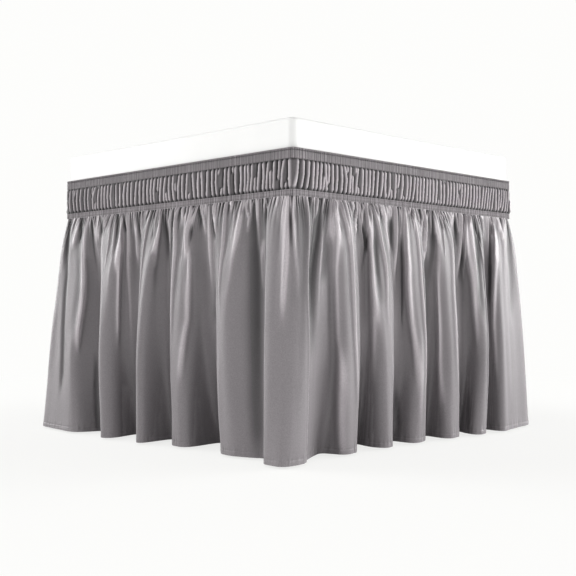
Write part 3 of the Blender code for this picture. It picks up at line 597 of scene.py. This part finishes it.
def halving_faces(upper, lower, first_upper, first_lower):
    """Faces between a row and the next one down with half as many columns."""
    faces = []
    for j in range(lower):
        a, b, c = (first_upper + (2 * j + step) % upper for step in (0, 1, 2))
        d, e = first_lower + j, first_lower + (j + 1) % lower
        faces += [(a, d, b), (b, d, e), (b, e, c)]
    return faces


def make_ruffle():
    """The gathered cloth as one closed sheet, and its length round the hem."""
    rng = np.random.default_rng(SEED)
    knots = fold_knots()
    total = knots[-1]
    lines = crease_lines(total)
    spans = lobe_spans(knots)
    low = column_places(lines, spans, total)
    high = np.empty(2 * len(low))
    high[0::2] = low
    high[1::2] = low + ((np.roll(low, -1) - low) % total) / 2
    broad, fine, tiny = (periodic(n, rng, total) for n in (BROAD_WAVES, FINE_WAVES, TINY_WAVES))
    points, painted_crest_shade, painted_open_shade = [], [], []

    def ring(t, places):
        line = softened(section(t, places % total, knots), places % total, spans, total)
        normal = outward(line)
        around = np.linalg.norm(np.roll(line, -1, axis=0) - line, axis=1)
        scale = around / ((np.roll(places, -1) - places) % total)
        creased, sharp = crease_relief(lines, places, scale, t, total)
        start = SEAM_LOW + SEAM_GAIN * min(t / SEAM_RISE_T, 1)
        out = creased * start + swell(t, places, spans, total)
        out += BROAD_TALL * broad(places) * smoothstep((t - BROAD_FROM) / BROAD_OVER)
        waves = np.sin(math.pi * places / TUFT_PITCH + TUFT_UNEVEN * fine(places))
        tufts = np.abs(waves) ** TUFT_POWER - TUFT_LEVEL
        tufts *= TUFT_TALL * math.exp(-t / TUFT_FADE)
        out += tufts + FINE_TALL * fine(places) * bell(t, 0, FINE_T)
        turned = smoothstep((t - TURN_UP) / TURN_OVER)
        out += TURN_TALL * turned - GROOVE_DEEP * bell(t, TURN_UP, GROOVE_T)
        out += TINY_TALL * tiny(places) * bell(t, TURN_UP, TINY_T)
        line = line + normal * out[:, None]
        # Painted highlight on creases and tufts and painted shade in their valleys, stronger near
        # the seam, and painted shade on the gathers under the seam
        vivid = 1 + VIVID * math.exp(-t / VIVID_T)
        crest = (sharp * start * vivid + TUFT_VIVID * tufts) / CREST_FULL
        painted_crest_shade.append(crest - SEAM_PAINTED_SHADE * math.exp(-t / SEAM_PAINTED_SHADE_T))
        painted_open_shade.append(openness(line))
        z = RUFFLE_TOP_Z - t * (RUFFLE_TOP_Z - HEM_Z)
        points.append(np.column_stack([line, np.full(len(line), z)]))
        return np.linalg.norm(np.roll(line, -1, axis=0) - line, axis=1).sum()

    for t in TOP_ROWS:
        ring(t, high)
    for t in LOW_ROWS[1:]:
        hem_length = ring(t, low)
    n_top, n_low = len(TOP_ROWS), len(LOW_ROWS) - 1
    first_low = n_top * len(high)
    faces = grid_faces(n_top, len(high))
    faces += halving_faces(len(high), len(low), (n_top - 1) * len(high), first_low)
    faces += grid_faces(n_low, len(low), first_low)
    piece = add_piece("ruffle_cloth", np.concatenate(points), faces)
    # crest carries the painted highlight and shade; open carries the painted shade deep between
    # folds
    mark(piece, "crest", np.concatenate(painted_crest_shade))
    mark(piece, "open", np.concatenate(painted_open_shade))
    return piece, hem_length


# ---------------------------------------------------------------- heading

BAND_SEAM, PANEL_SEAM = 0.3862, 0.3466
HEAD_R, HEAD_STEP = 0.0045, 0.00062
CORNERS = ((1, -1), (-1, -1), (-1, 1), (1, 1))
# The "crest" value in a sheet's gaps and on its ridges, which paints shade in the gaps and
# highlight on the ridges, and how far out each sheet's ridges are
HEAD_GAP, HEAD_RIDGE = -0.40, 1.0
TOP_FULL, LOW_FULL, PANEL_FULL = 0.0015, 0.0013, 0.0036

# Ribs of the two bands: how far out they start, how tall, how far apart, how uneven
RIB_OUT, RIB_TALL, TOP_RIB_PITCH, LOW_RIB_PITCH = 0.0004, 0.0011, 0.0026, 0.0027
RIB_SHIFT, RIB_LOW, RIB_HIGH, RIB_WIDTH, RIB_POWER = 0.22, 0.55, 1.15, 0.27, 1.8
# Shares of a band's height where its rows lie
TOP_BAND_ROWS = (0.0, 0.10, 0.28, 0.46, 0.62, 0.72, 0.77, 0.795, 0.82, 0.87, 0.93, 0.97, 1.0)
LOW_BAND_ROWS = (0.0, 0.08, 0.16, 0.24, 0.34, 0.50, 0.66, 0.76, 0.84, 0.92, 1.0)
# The top band: its ribs are lower midway up and at its seam, and it is drawn in at its stitches.
TOP_SAG, TOP_END_LOW, TOP_END_GAIN, TOP_END = 0.0003, 0.55, 0.45, 0.12
STITCH_DROP, STITCH_DEEP, STITCH_WIDE = 0.0030, 0.0008, 0.0006
TOP_UNDER, TOP_CURL, TOP_TURN = 0.0006, 0.0007, 0.9
LOW_GROOVES, LOW_GROOVE_WIDE, LOW_GROOVE_DEEP = (0.24, 0.76), 0.07, 0.0002

# A ruche is steep on one side and gentle on the other, on a body that sinks in a groove beside it.
PANEL_ROWS = (0, 0.03, 0.065, *np.linspace(0.10, 0.90, 20), 0.935, 0.97, 1)
PANEL_OUT, STRONG_RUCHE, STRONG_LOW, STRONG_GAIN, RUCHE_TALL = 0.0002, 34, 0.8, 0.2, 0.0036
RUCHE_NEAR, RUCHE_FAR, RUCHE_POWER, RUCHE_SHIFT, RUCHE_REACH = 0.0040, 0.0009, 1.5, 0.0010, 0.007
RUCHE_PAST, RUCHE_FADE, RUCHE_SHORT, RUCHE_WHOLE = 0.05, 0.12, 0.05, 0.02
PANEL_BODY, GROOVE_AT, GROOVE_WIDE, GROOVE_GONE = 0.32, 0.0032, 0.0025, 0.6
PANEL_EDGE, PANEL_RISE = 0.25, 8


def heading_loop():
    """Even points round the heading's outer face: their places, length round, points, normals."""
    quarter = math.pi * HEAD_R / 2
    side_x, side_y = 2 * (HALF_X - HEAD_R), 2 * (HALF_Y - HEAD_R)
    total = 2 * (side_x + side_y) + 4 * quarter
    count = round(total / HEAD_STEP)
    arc = (np.arange(count) + 0.5) / count * total
    points, normals = np.zeros((count, 2)), np.zeros((count, 2))
    start = 0.0
    for k, (sx, sy) in enumerate(CORNERS):
        centre = np.array([sx * (HALF_X - HEAD_R), sy * (HALF_Y - HEAD_R)])
        on = (arc >= start) & (arc < start + quarter)
        turn = -k * math.pi / 2 - (arc[on] - start) / HEAD_R
        normals[on] = np.column_stack([np.cos(turn), np.sin(turn)])
        points[on] = centre + HEAD_R * normals[on]
        start += quarter
        length = side_x if k % 2 == 0 else side_y
        turn = -(k + 1) * math.pi / 2
        out = np.array([math.cos(turn), math.sin(turn)])
        along = np.array([out[1], -out[0]])
        on = (arc >= start) & (arc <= start + length)
        normals[on] = out
        points[on] = centre + HEAD_R * out + (arc[on] - start)[:, None] * along
        start += length
    return arc, total, points, normals


def heading_sheet(name, loop, rows, full):
    """A closed sheet from rows, low to high, of height and how far each point stands out."""
    arc, total, points, normals = loop
    rings, shade = [], []
    for z, out in reversed(rows):
        ring = points + normals * np.asarray(out)[:, None]
        rings.append(np.column_stack([ring, np.zeros(len(arc)) + z]))
        # Painted shade in the gaps and painted highlight on the ridges, by how far out the cloth
        # stands
        shade.append(HEAD_GAP + (HEAD_RIDGE - HEAD_GAP) * np.clip(out / full, 0, 1))
    piece = add_piece(name, np.concatenate(rings), grid_faces(len(rows), len(arc)))
    mark(piece, "crest", np.concatenate(shade))
    return piece


def ribs(loop, pitch, rng):
    """Fine upright ribs from 0 to about 1, a little uneven in place and height."""
    arc, total, _, _ = loop
    count = round(total / pitch)
    centre = (np.arange(count) + rng.uniform(-RIB_SHIFT, RIB_SHIFT, count)) * total / count
    height = rng.uniform(RIB_LOW, RIB_HIGH, count)
    out = np.zeros(len(arc))
    for c, h in zip(centre, height):
        d = np.abs(apart(arc, c, total))
        near = d < pitch
        rib = h * np.exp(-(d[near] / (RIB_WIDTH * pitch)) ** RIB_POWER)
        out[near] = np.maximum(out[near], rib)
    return out


def make_top_band(loop):
    fine = ribs(loop, TOP_RIB_PITCH, np.random.default_rng(SEED + 1))
    flat = 0.0 * fine
    rows = [(BAND_SEAM - TOP_UNDER, flat)]
    for f in TOP_BAND_ROWS:
        z = BAND_SEAM + f * (TOP_Z - BAND_SEAM)
        ends = TOP_END_LOW + TOP_END_GAIN * smoothstep(f / TOP_END)
        out = RIB_OUT + (RIB_TALL - TOP_SAG * math.sin(math.pi * f)) * fine * ends
        rows.append((z, out - STITCH_DEEP * bell(z, TOP_Z - STITCH_DROP, STITCH_WIDE)))
    rows.append((TOP_Z + RIB_OUT * fine, flat - TOP_CURL))
    rows.append((TOP_Z - TOP_UNDER, flat - TOP_TURN * BAND_T))
    return heading_sheet("top_band_shirred", loop, rows, TOP_FULL)


def make_lower_band(loop):
    fine = ribs(loop, LOW_RIB_PITCH, np.random.default_rng(SEED + 2))
    rows = []
    for f in LOW_BAND_ROWS:
        groove = sum(bell(f, at, LOW_GROOVE_WIDE) for at in LOW_GROOVES)
        z = LOWER_BAND_LOW + f * (PANEL_SEAM - LOWER_BAND_LOW)
        rows.append((z, RIB_OUT + RIB_TALL * fine - LOW_GROOVE_DEEP * groove))
    return heading_sheet("lower_band_ribbed", loop, rows, LOW_FULL)


def ruche_lines(total):
    """(low, high, three places, direction, strength) of each ruche, and of its copy behind."""
    quarter = math.pi * HEAD_R / 2
    ruches = []
    for table, turn in ((FRONT_RUCHES, 1), (SIDE_RUCHES, -1)):
        for row in table:
            low, high, *across, strength = row if len(row) == 6 else (0, 100, *row)
            u = drifting(*across) - RUCHE_SHIFT
            along = np.where(u > HEAD_R, u - HEAD_R, (u - HEAD_R) * quarter / 2 / HEAD_R)
            places = quarter + along if turn > 0 else -along
            strong = STRONG_LOW + STRONG_GAIN * strength / STRONG_RUCHE
            for half in (0, total / 2):
                ruches.append((low / 100, high / 100, places + half, turn, strong))
    return ruches


def make_panel(loop):
    arc, total, _, _ = loop
    ruches = ruche_lines(total)
    rows = []
    for f in PANEL_ROWS:
        ridge, groove = np.zeros(len(arc)), np.zeros(len(arc))
        for low, high, places, turn, strength in ruches:
            if not low - RUCHE_PAST <= f <= high + RUCHE_PAST:
                continue
            ends = 1.0
            if low > RUCHE_WHOLE:
                ends *= smoothstep((f - low + RUCHE_PAST) / RUCHE_FADE)
            if high < 1 - RUCHE_WHOLE:
                ends *= smoothstep((high + RUCHE_PAST - f) / RUCHE_FADE)
            place = np.interp((f - low) / max(high - low, RUCHE_SHORT), (0, 0.5, 1), places)
            d = apart(arc, place, total)
            near = np.abs(d) < RUCHE_REACH
            d = d[near] * turn
            steep = np.exp(-np.abs(d / RUCHE_FAR) ** RUCHE_POWER)
            gentle = np.clip(1 - np.abs(d / RUCHE_NEAR) ** RUCHE_POWER, 0, 1)
            ruche = strength * ends * np.where(d > 0, steep, gentle)
            ridge[near] = np.maximum(ridge[near], ruche)
            sunk = ends * np.exp(-(((d - GROOVE_AT) / GROOVE_WIDE) ** 2))
            groove[near] = np.maximum(groove[near], sunk)
        body = np.maximum(ridge, PANEL_BODY)
        body -= PANEL_BODY * groove * np.clip(1 - ridge / GROOVE_GONE, 0, 1)
        swollen = min(1.0, PANEL_EDGE + PANEL_RISE * f, PANEL_EDGE + PANEL_RISE * (1 - f))
        z = PANEL_SEAM + f * (BAND_SEAM - PANEL_SEAM)
        rows.append((z, PANEL_OUT + RUCHE_TALL * body * swollen))
    return heading_sheet("ruched_panel_cloth", loop, rows, PANEL_FULL)


# ---------------------------------------------------------------- stitches

# Along a stitch: the share of its length and of its radius. Its two ends dip into the cloth.
SPINDLE, END_DIP = ((-0.5, 0.15), (-0.3, 1.0), (0.3, 1.0), (0.5, 0.15)), 0.00035


def make_stitches(name, loop, z, pitch, length, radius, out):
    """A row of short stitches round the heading, each a small four-sided spindle."""
    arc, total, points, normals = loop
    count = int(total / pitch)
    verts, faces = [], []
    for k in range(count):
        i = int((k + 0.5) / count * len(arc)) % len(arc)
        p, n = points[i], normals[i]
        tangent = np.array([n[1], -n[0]])
        first = len(verts)
        for e, r in SPINDLE:
            mid = p + n * (out - (END_DIP if abs(e) == 0.5 else 0)) + tangent * length * e
            for a in range(4):
                turn = a * math.pi / 2 + math.pi / 4
                off = n * math.cos(turn) * radius * r
                verts.append((*(mid + off), z + math.sin(turn) * radius * r))
        for b in range(first, first + 12, 4):
            for a in range(4):
                c = (a + 1) % 4
                faces.append((b + a, b + c, b + 4 + c, b + 4 + a))
        faces.append((first + 3, first + 2, first + 1, first))
        faces.append((first + 12, first + 13, first + 14, first + 15))
    return add_piece(name, verts, faces)


# ---------------------------------------------------------------- base

BASE_EDGE, CORNER_STEPS, EDGE_STEPS = 0.006, 8, 6


def make_base():
    """The white base: rounded corners and edges, a flat top and plain ticking."""
    radius = CORNER_R - BASE_INSET
    half_x, half_y = HALF_X - BASE_INSET - radius, HALF_Y - BASE_INSET - radius
    ring = []
    for k, (sx, sy) in enumerate(CORNERS):
        for i in range(CORNER_STEPS + 1):
            turn = -k * math.pi / 2 - i / CORNER_STEPS * math.pi / 2
            ring.append((sx * half_x, sy * half_y, math.cos(turn), math.sin(turn)))
    ring = np.array(ring)
    turns = [k / EDGE_STEPS * math.pi / 2 for k in range(EDGE_STEPS + 1)]
    edge = [(-BASE_EDGE * (1 - math.cos(a)), BASE_EDGE * (1 - math.sin(a))) for a in turns]
    levels = [(out, BASE_TOP_Z - drop) for out, drop in reversed(edge)]
    levels += [(out, BASE_BOTTOM_Z + rise) for out, rise in edge]
    n = len(ring)
    points = np.concatenate([
        np.column_stack([ring[:, :2] + (radius + out) * ring[:, 2:], np.full(n, z)])
        for out, z in levels
    ])
    faces = grid_faces(len(levels), n)
    faces.append(list(range(n))[::-1])
    faces.append([(len(levels) - 1) * n + i for i in range(n)])
    piece = add_piece("base_block", points, faces)
    smooth = [len(p.vertices) == 4 for p in piece.data.polygons]
    piece.data.polygons.foreach_set("use_smooth", smooth)
    return piece


# ---------------------------------------------------------------- materials


class Nodes:
    """A material's node tree, with short calls for the nodes used here."""

    def __init__(self, name):
        self.material = bpy.data.materials.new(name)
        self.material.use_nodes = True
        self.tree = self.material.node_tree
        self.shader = self.tree.nodes["Principled BSDF"]

    def add(self, kind, **values):
        node = self.tree.nodes.new(kind)
        for key, value in values.items():
            setattr(node, key, value)
        return node

    def fill(self, node, **values):
        """Sets a node's sockets by name, with _ for a space."""
        for key, value in values.items():
            node.inputs[key.replace("_", " ")].default_value = value
        return node

    def link(self, out, into):
        self.tree.links.new(out, into)

    def noise(self, scale, detail=3.0):
        place = self.add("ShaderNodeTexCoord")
        mapping = self.fill(self.add("ShaderNodeMapping"), Scale=scale)
        self.link(place.outputs["Object"], mapping.inputs["Vector"])
        node = self.fill(self.add("ShaderNodeTexNoise"), Scale=1.0, Detail=detail, Roughness=0.5)
        self.link(mapping.outputs["Vector"], node.inputs["Vector"])
        return node.outputs["Fac"]

    def ramp(self, value, stops):
        node = self.add("ShaderNodeValToRGB")
        elements = node.color_ramp.elements
        for element, (position, colour) in zip(elements, (stops[0], stops[-1])):
            element.position, element.color = position, (*colour, 1)
        for position, colour in stops[1:-1]:
            elements.new(position).color = (*colour, 1)
        self.link(value, node.inputs["Fac"])
        return node.outputs["Color"]

    def remap(self, value, end, low, high):
        """A value brought to a range, with end "To", or brought from one to 0 to 1, with "From"."""
        node = self.fill(self.add("ShaderNodeMapRange"), **{end + "_Min": low, end + "_Max": high})
        self.link(value, node.inputs["Value"])
        return node.outputs["Result"]

    def times(self, one, other):
        node = self.add("ShaderNodeMix", data_type="RGBA", blend_type="MULTIPLY")
        self.fill(node, Factor=1.0)
        self.link(one, node.inputs["A"])
        self.link(other, node.inputs["B"])
        return node.outputs["Result"]

    def bump(self, height, distance, strength, under=None):
        node = self.fill(self.add("ShaderNodeBump"), Distance=distance, Strength=strength)
        self.link(height, node.inputs["Height"])
        if under is not None:
            self.link(under, node.inputs["Normal"])
        return node.outputs["Normal"]


# How light the colour is, as (value, factor), with painted highlight on ridges and painted shade in
# gaps: by how far a crease, rib or ruche stands out, from SHADE_LOW to SHADE_HIGH, and painted
# shade deep between folds, by how open a fold is.
SHADE_LOW, SHADE_HIGH = -0.8, 1.2
CLOTH_PAINTED_SHADES = ((-0.8, 0.18), (-0.2, 0.50), (0.12, 0.90), (0.45, 1.02), (0.8, 1.45), (1.2, 1.9))
BAND_PAINTED_SHADES = ((-0.4, 0.10), (0.17, 0.60), (0.60, 1.05), (1.2, 2.1))
PANEL_PAINTED_SHADES = (
    (-0.4, 0.02), (-0.1, 0.04), (0.2, 0.42), (0.5, 0.95), (0.75, 1.7), (1.0, 2.7), (1.2, 3.3))
PAINTED_FOLD_SHADES = ((0.30, 0.55), (0.60, 0.74), (0.85, 0.95), (1.0, 1.08))
# How far a slow unevenness shifts that value, and the contrast of the fine grain; the scale and
# detail of both; and the distance and strength of their bumps
BLOTCH, GRAIN = 0.35, 0.10
BLOTCH_NOISE, GRAIN_NOISE, STREAK_DETAIL = ((14, 14, 9), 4), ((700, 700, 700), 2), 3
GRAIN_BUMP, STREAK_BUMP = (0.00012, 0.5), (0.0006, 0.25)
SMOOTHER, ROUGHER, SHEEN_ROUGH, SHEEN_TINT = 0.06, 0.08, 0.25, (0.95, 0.93, 0.95, 1)
MAUVE, TICKING, PAINT = (0.200, 0.185, 0.1935), (0.86, 0.86, 0.85), (0.80, 0.80, 0.78)


def tint(colour, k):
    return tuple(c * k for c in colour)


def satin(name, colour, roughness, sheen, streak=(260, 260, 10), folds=False,
          shades=CLOTH_PAINTED_SHADES, gloss=0.35):
    """Brushed microfibre: a soft sheen, upright streaks, a fine grain and slight unevenness.

    It has a painted highlight on ridges and painted shade in gaps, by the piece's "crest" values
    and shades. With folds it also has painted shade deep between the folds, by its "open" values.
    """
    made = Nodes(name)
    blotch = made.noise(*BLOTCH_NOISE)
    # Painted highlight and shade by the crest values, shifted by a slow unevenness
    painted_ridge_shade = made.add("ShaderNodeAttribute", attribute_name="crest")
    blotch_and_painted_shade = made.add("ShaderNodeMath", operation="MULTIPLY_ADD")
    made.link(blotch, blotch_and_painted_shade.inputs[0])
    blotch_and_painted_shade.inputs[1].default_value = BLOTCH
    made.link(painted_ridge_shade.outputs["Fac"], blotch_and_painted_shade.inputs[2])
    stops = [((at - SHADE_LOW) / (SHADE_HIGH - SHADE_LOW), tint(colour, k)) for at, k in shades]
    shade = made.ramp(made.remap(blotch_and_painted_shade.outputs[0], "From", SHADE_LOW, SHADE_HIGH), stops)
    if folds:
        # Painted shade deep between the folds, by the open values
        deep = made.add("ShaderNodeAttribute", attribute_name="open")
        painted_fold_shade = made.ramp(deep.outputs["Fac"], [(at, (k, k, k)) for at, k in PAINTED_FOLD_SHADES])
        shade = made.times(shade, painted_fold_shade)
    grain = made.noise(*GRAIN_NOISE)
    speckle = made.ramp(grain, ((0.3, (1 - GRAIN,) * 3), (0.7, (1 + GRAIN,) * 3)))
    made.link(made.times(shade, speckle), made.shader.inputs["Base Color"])
    streaks = made.noise(streak, STREAK_DETAIL)
    rough = made.remap(streaks, "To", roughness - SMOOTHER, roughness + ROUGHER)
    made.link(rough, made.shader.inputs["Roughness"])
    normal = made.bump(streaks, *STREAK_BUMP, made.bump(grain, *GRAIN_BUMP))
    made.link(normal, made.shader.inputs["Normal"])
    made.fill(made.shader, Sheen_Weight=sheen, Sheen_Roughness=SHEEN_ROUGH, Sheen_Tint=SHEEN_TINT,
              Specular_IOR_Level=gloss)
    return made.material


def plain(name, colour, dark, patches, grain, rough, bump):
    """One colour in faint patches, with a grain in its roughness and bump."""
    made = Nodes(name)
    patchy = made.ramp(made.noise(*patches), ((0.3, tint(colour, dark)), (0.7, colour)))
    made.link(patchy, made.shader.inputs["Base Color"])
    fine = made.noise(*grain)
    made.link(made.remap(fine, "To", *rough), made.shader.inputs["Roughness"])
    made.link(made.bump(fine, *bump), made.shader.inputs["Normal"])
    return made.material


# ---------------------------------------------------------------- pieces

# Stitch rows: pitch, length, radius and how far out; and their heights over the lower band's edge
TOP_STITCH, LOW_STITCH = (0.0036, 0.0026, 0.00030, 0.0006), (0.0030, 0.0018, 0.00022, 0.0004)
LOW_ROW_A, LOW_ROW_B = 0.0018, 0.0072


def dress(piece, look, slot, *nodes):
    piece.data.materials.clear()
    piece.data.materials.append(look)
    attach(piece, "root")
    if nodes:
        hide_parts(*nodes)


ruffle_piece, hem_length = make_ruffle()
loop = heading_loop()
top_band = make_top_band(loop)
lower_band = make_lower_band(loop)
panel = make_panel(loop)
top_row = make_stitches("top_band_stitches", loop, TOP_Z - STITCH_DROP, *TOP_STITCH)
low_row_a, low_row_b = (
    make_stitches("lower_band_stitches_" + end, loop, LOWER_BAND_LOW + up, *LOW_STITCH)
    for end, up in (("a", LOW_ROW_A), ("b", LOW_ROW_B))
)
base_block = make_base()

ruffle_look = satin("ruffle_satin", tint(MAUVE, 1.10), 0.48, 0.6, folds=True)
band_look = satin(
    "band_satin", tint(MAUVE, 1.0), 0.55, 0.1, (500, 500, 40), shades=BAND_PAINTED_SHADES, gloss=0.2)
panel_look = satin(
    "panel_satin", tint(MAUVE, 0.90), 0.50, 0.05, (420, 420, 20), shades=PANEL_PAINTED_SHADES, gloss=0.2)
thread_look = satin("thread", tint(MAUVE, 0.85), 0.5, 0.2, (900, 900, 900))
dress(ruffle_piece, ruffle_look, "ruffle_cloth", "ruffle")
dress(top_band, band_look, "top_band_cloth", "heading_top_band")
dress(lower_band, band_look, "lower_band_cloth", "heading_lower_band")
dress(panel, panel_look, "ruched_cloth", "heading_ruched_panel")
dress(top_row, thread_look, "top_band_cloth")
dress(low_row_a, thread_look, "lower_band_cloth")
dress(low_row_b, thread_look, "lower_band_cloth")
ticking_look = plain(
    "ticking", TICKING, 0.97, ((8, 8, 8), 3), ((900, 900, 900), 2), (0.62, 0.78), (0.00015, 0.4))
dress(base_block, ticking_look, "base_ticking", "box_spring")
leg_look = plain(
    "leg_paint", PAINT, 0.95, ((40, 40, 6), 4), ((40, 40, 6), 4), (0.42, 0.55), (0.0002, 0.3))
for name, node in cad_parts.items():
    if name.startswith("leg_"):
        node.data.materials.clear()
        node.data.materials.append(leg_look)

# ---------------------------------------------------------------- stage, camera, light

WHITE, FLOOR_MATT = (0.985, 0.985, 0.972, 1), (0.82, 0.82, 0.81, 1)
FLOOR_SIZE = 60.0
# The floor's own glow, as seen, grows with the distance from the middle.
GLOW_FROM, GLOW_TO, GLOW_LEAST, GLOW_MOST = 0.45, 1.25, 0.80, 1.0
WORLD_STRENGTH = 0.23

# The camera: its frame in pixels and its focal length in the same, its place beyond the front
# right corner, and its rise and turn in degrees
FRAME_PIXELS, FOCAL_PIXELS, SENSOR = 576, 971.6, 36
CAMERA_RIGHT, CAMERA_FRONT, CAMERA_Z = 0.859, 0.877, 0.205
CAMERA_RISE, CAMERA_TURN = 0.74, 44.70

# Area lights: degrees to the right of the camera's side, degrees up, power, size and distance.
# All face the point LIT.
CAMERA_SIDE, LIT = -45.3, (0, 0, 0.22)
LIGHTS = (
    ("left_back", -120, 15, 39),
    ("left_side", -100, 15, 27),
    ("left_high", -100, 50, 26),
    ("left_front", -37, 15, 12),
    ("front_high", -40, 50, 5),
    ("front_low", 0, 2, 4.0, 0.4, 1.75),
    ("right_front", 35, 15, 11),
    ("right_side", 75, 15, 17),
    ("right_rim", 100, 15, 53),
    ("right_back", 120, 15, 41),
)


def pale_floor():
    """Matt near the object, with a soft shadow, and the backdrop's white further out."""
    made = Nodes("floor_pale")
    made.tree.nodes.remove(made.shader)
    matt = made.fill(made.add("ShaderNodeBsdfDiffuse"), Color=FLOOR_MATT)
    glow = made.fill(made.add("ShaderNodeEmission"), Color=WHITE)
    place = made.add("ShaderNodeTexCoord")
    length = made.add("ShaderNodeVectorMath", operation="LENGTH")
    made.link(place.outputs["Object"], length.inputs[0])
    spread = made.fill(
        made.add("ShaderNodeMapRange", interpolation_type="SMOOTHSTEP"),
        From_Min=GLOW_FROM, From_Max=GLOW_TO, To_Min=GLOW_LEAST, To_Max=GLOW_MOST)
    made.link(length.outputs["Value"], spread.inputs["Value"])
    path = made.add("ShaderNodeLightPath")
    share = made.add("ShaderNodeMath", operation="MULTIPLY")
    made.link(spread.outputs["Result"], share.inputs[0])
    made.link(path.outputs["Is Camera Ray"], share.inputs[1])
    mix_into(made.tree, "Material Output", share.outputs[0], matt, glow)
    return made.material


def mix_into(tree, output, share, first, second):
    """Mixes two shaders into a tree's output, with share of the second."""
    mix = tree.nodes.new("ShaderNodeMixShader")
    for into, out in zip(mix.inputs, (share, first.outputs[0], second.outputs[0])):
        tree.links.new(out, into)
    tree.links.new(mix.outputs[0], tree.nodes[output].inputs["Surface"])


def make_floor():
    s = FLOOR_SIZE
    corners = [(-s, -s, 0), (s, -s, 0), (s, s, 0), (-s, s, 0)]
    floor = add_piece("floor", corners, [(0, 1, 2, 3)], smooth=False)
    floor.data.materials.append(pale_floor())


def make_camera():
    data = bpy.data.cameras.new("camera")
    data.sensor_width = SENSOR
    data.lens = FOCAL_PIXELS / FRAME_PIXELS * SENSOR
    camera = bpy.data.objects.new("camera", data)
    bpy.context.scene.collection.objects.link(camera)
    camera.location = (HALF_X + CAMERA_RIGHT, -HALF_Y - CAMERA_FRONT, CAMERA_Z)
    camera.rotation_euler = (math.radians(90 + CAMERA_RISE), 0, math.radians(CAMERA_TURN))
    bpy.context.scene.camera = camera


def make_world():
    """A faint even light, with a white backdrop for the camera alone."""
    world = bpy.data.worlds.new("studio")
    bpy.context.scene.world = world
    world.use_nodes = True
    tree = world.node_tree
    lit = tree.nodes["Background"]
    lit.inputs["Color"].default_value = (1, 1, 1, 1)
    lit.inputs["Strength"].default_value = WORLD_STRENGTH
    seen = tree.nodes.new("ShaderNodeBackground")
    seen.inputs["Color"].default_value = WHITE
    path = tree.nodes.new("ShaderNodeLightPath")
    mix_into(tree, "World Output", path.outputs["Is Camera Ray"], lit, seen)


def soft_light(name, side, height, power, size=1.3, distance=3.0):
    """A square area light; a row of LIGHTS says where."""
    turn, rise = math.radians(CAMERA_SIDE + side), math.radians(height)
    level = math.cos(rise)
    way = Vector((math.cos(turn) * level, math.sin(turn) * level, math.sin(rise)))
    data = bpy.data.lights.new(name, "AREA")
    data.shape, data.size, data.energy = "SQUARE", size, power
    light = bpy.data.objects.new(name, data)
    bpy.context.scene.collection.objects.link(light)
    light.location = Vector(LIT) + way * distance
    light.rotation_euler = way.to_track_quat("Z", "Y").to_euler()


make_floor()
make_camera()
make_world()
for row in LIGHTS:
    soft_light(*row)

view = bpy.context.scene.view_settings
view.view_transform = "Standard"
view.look = "None"
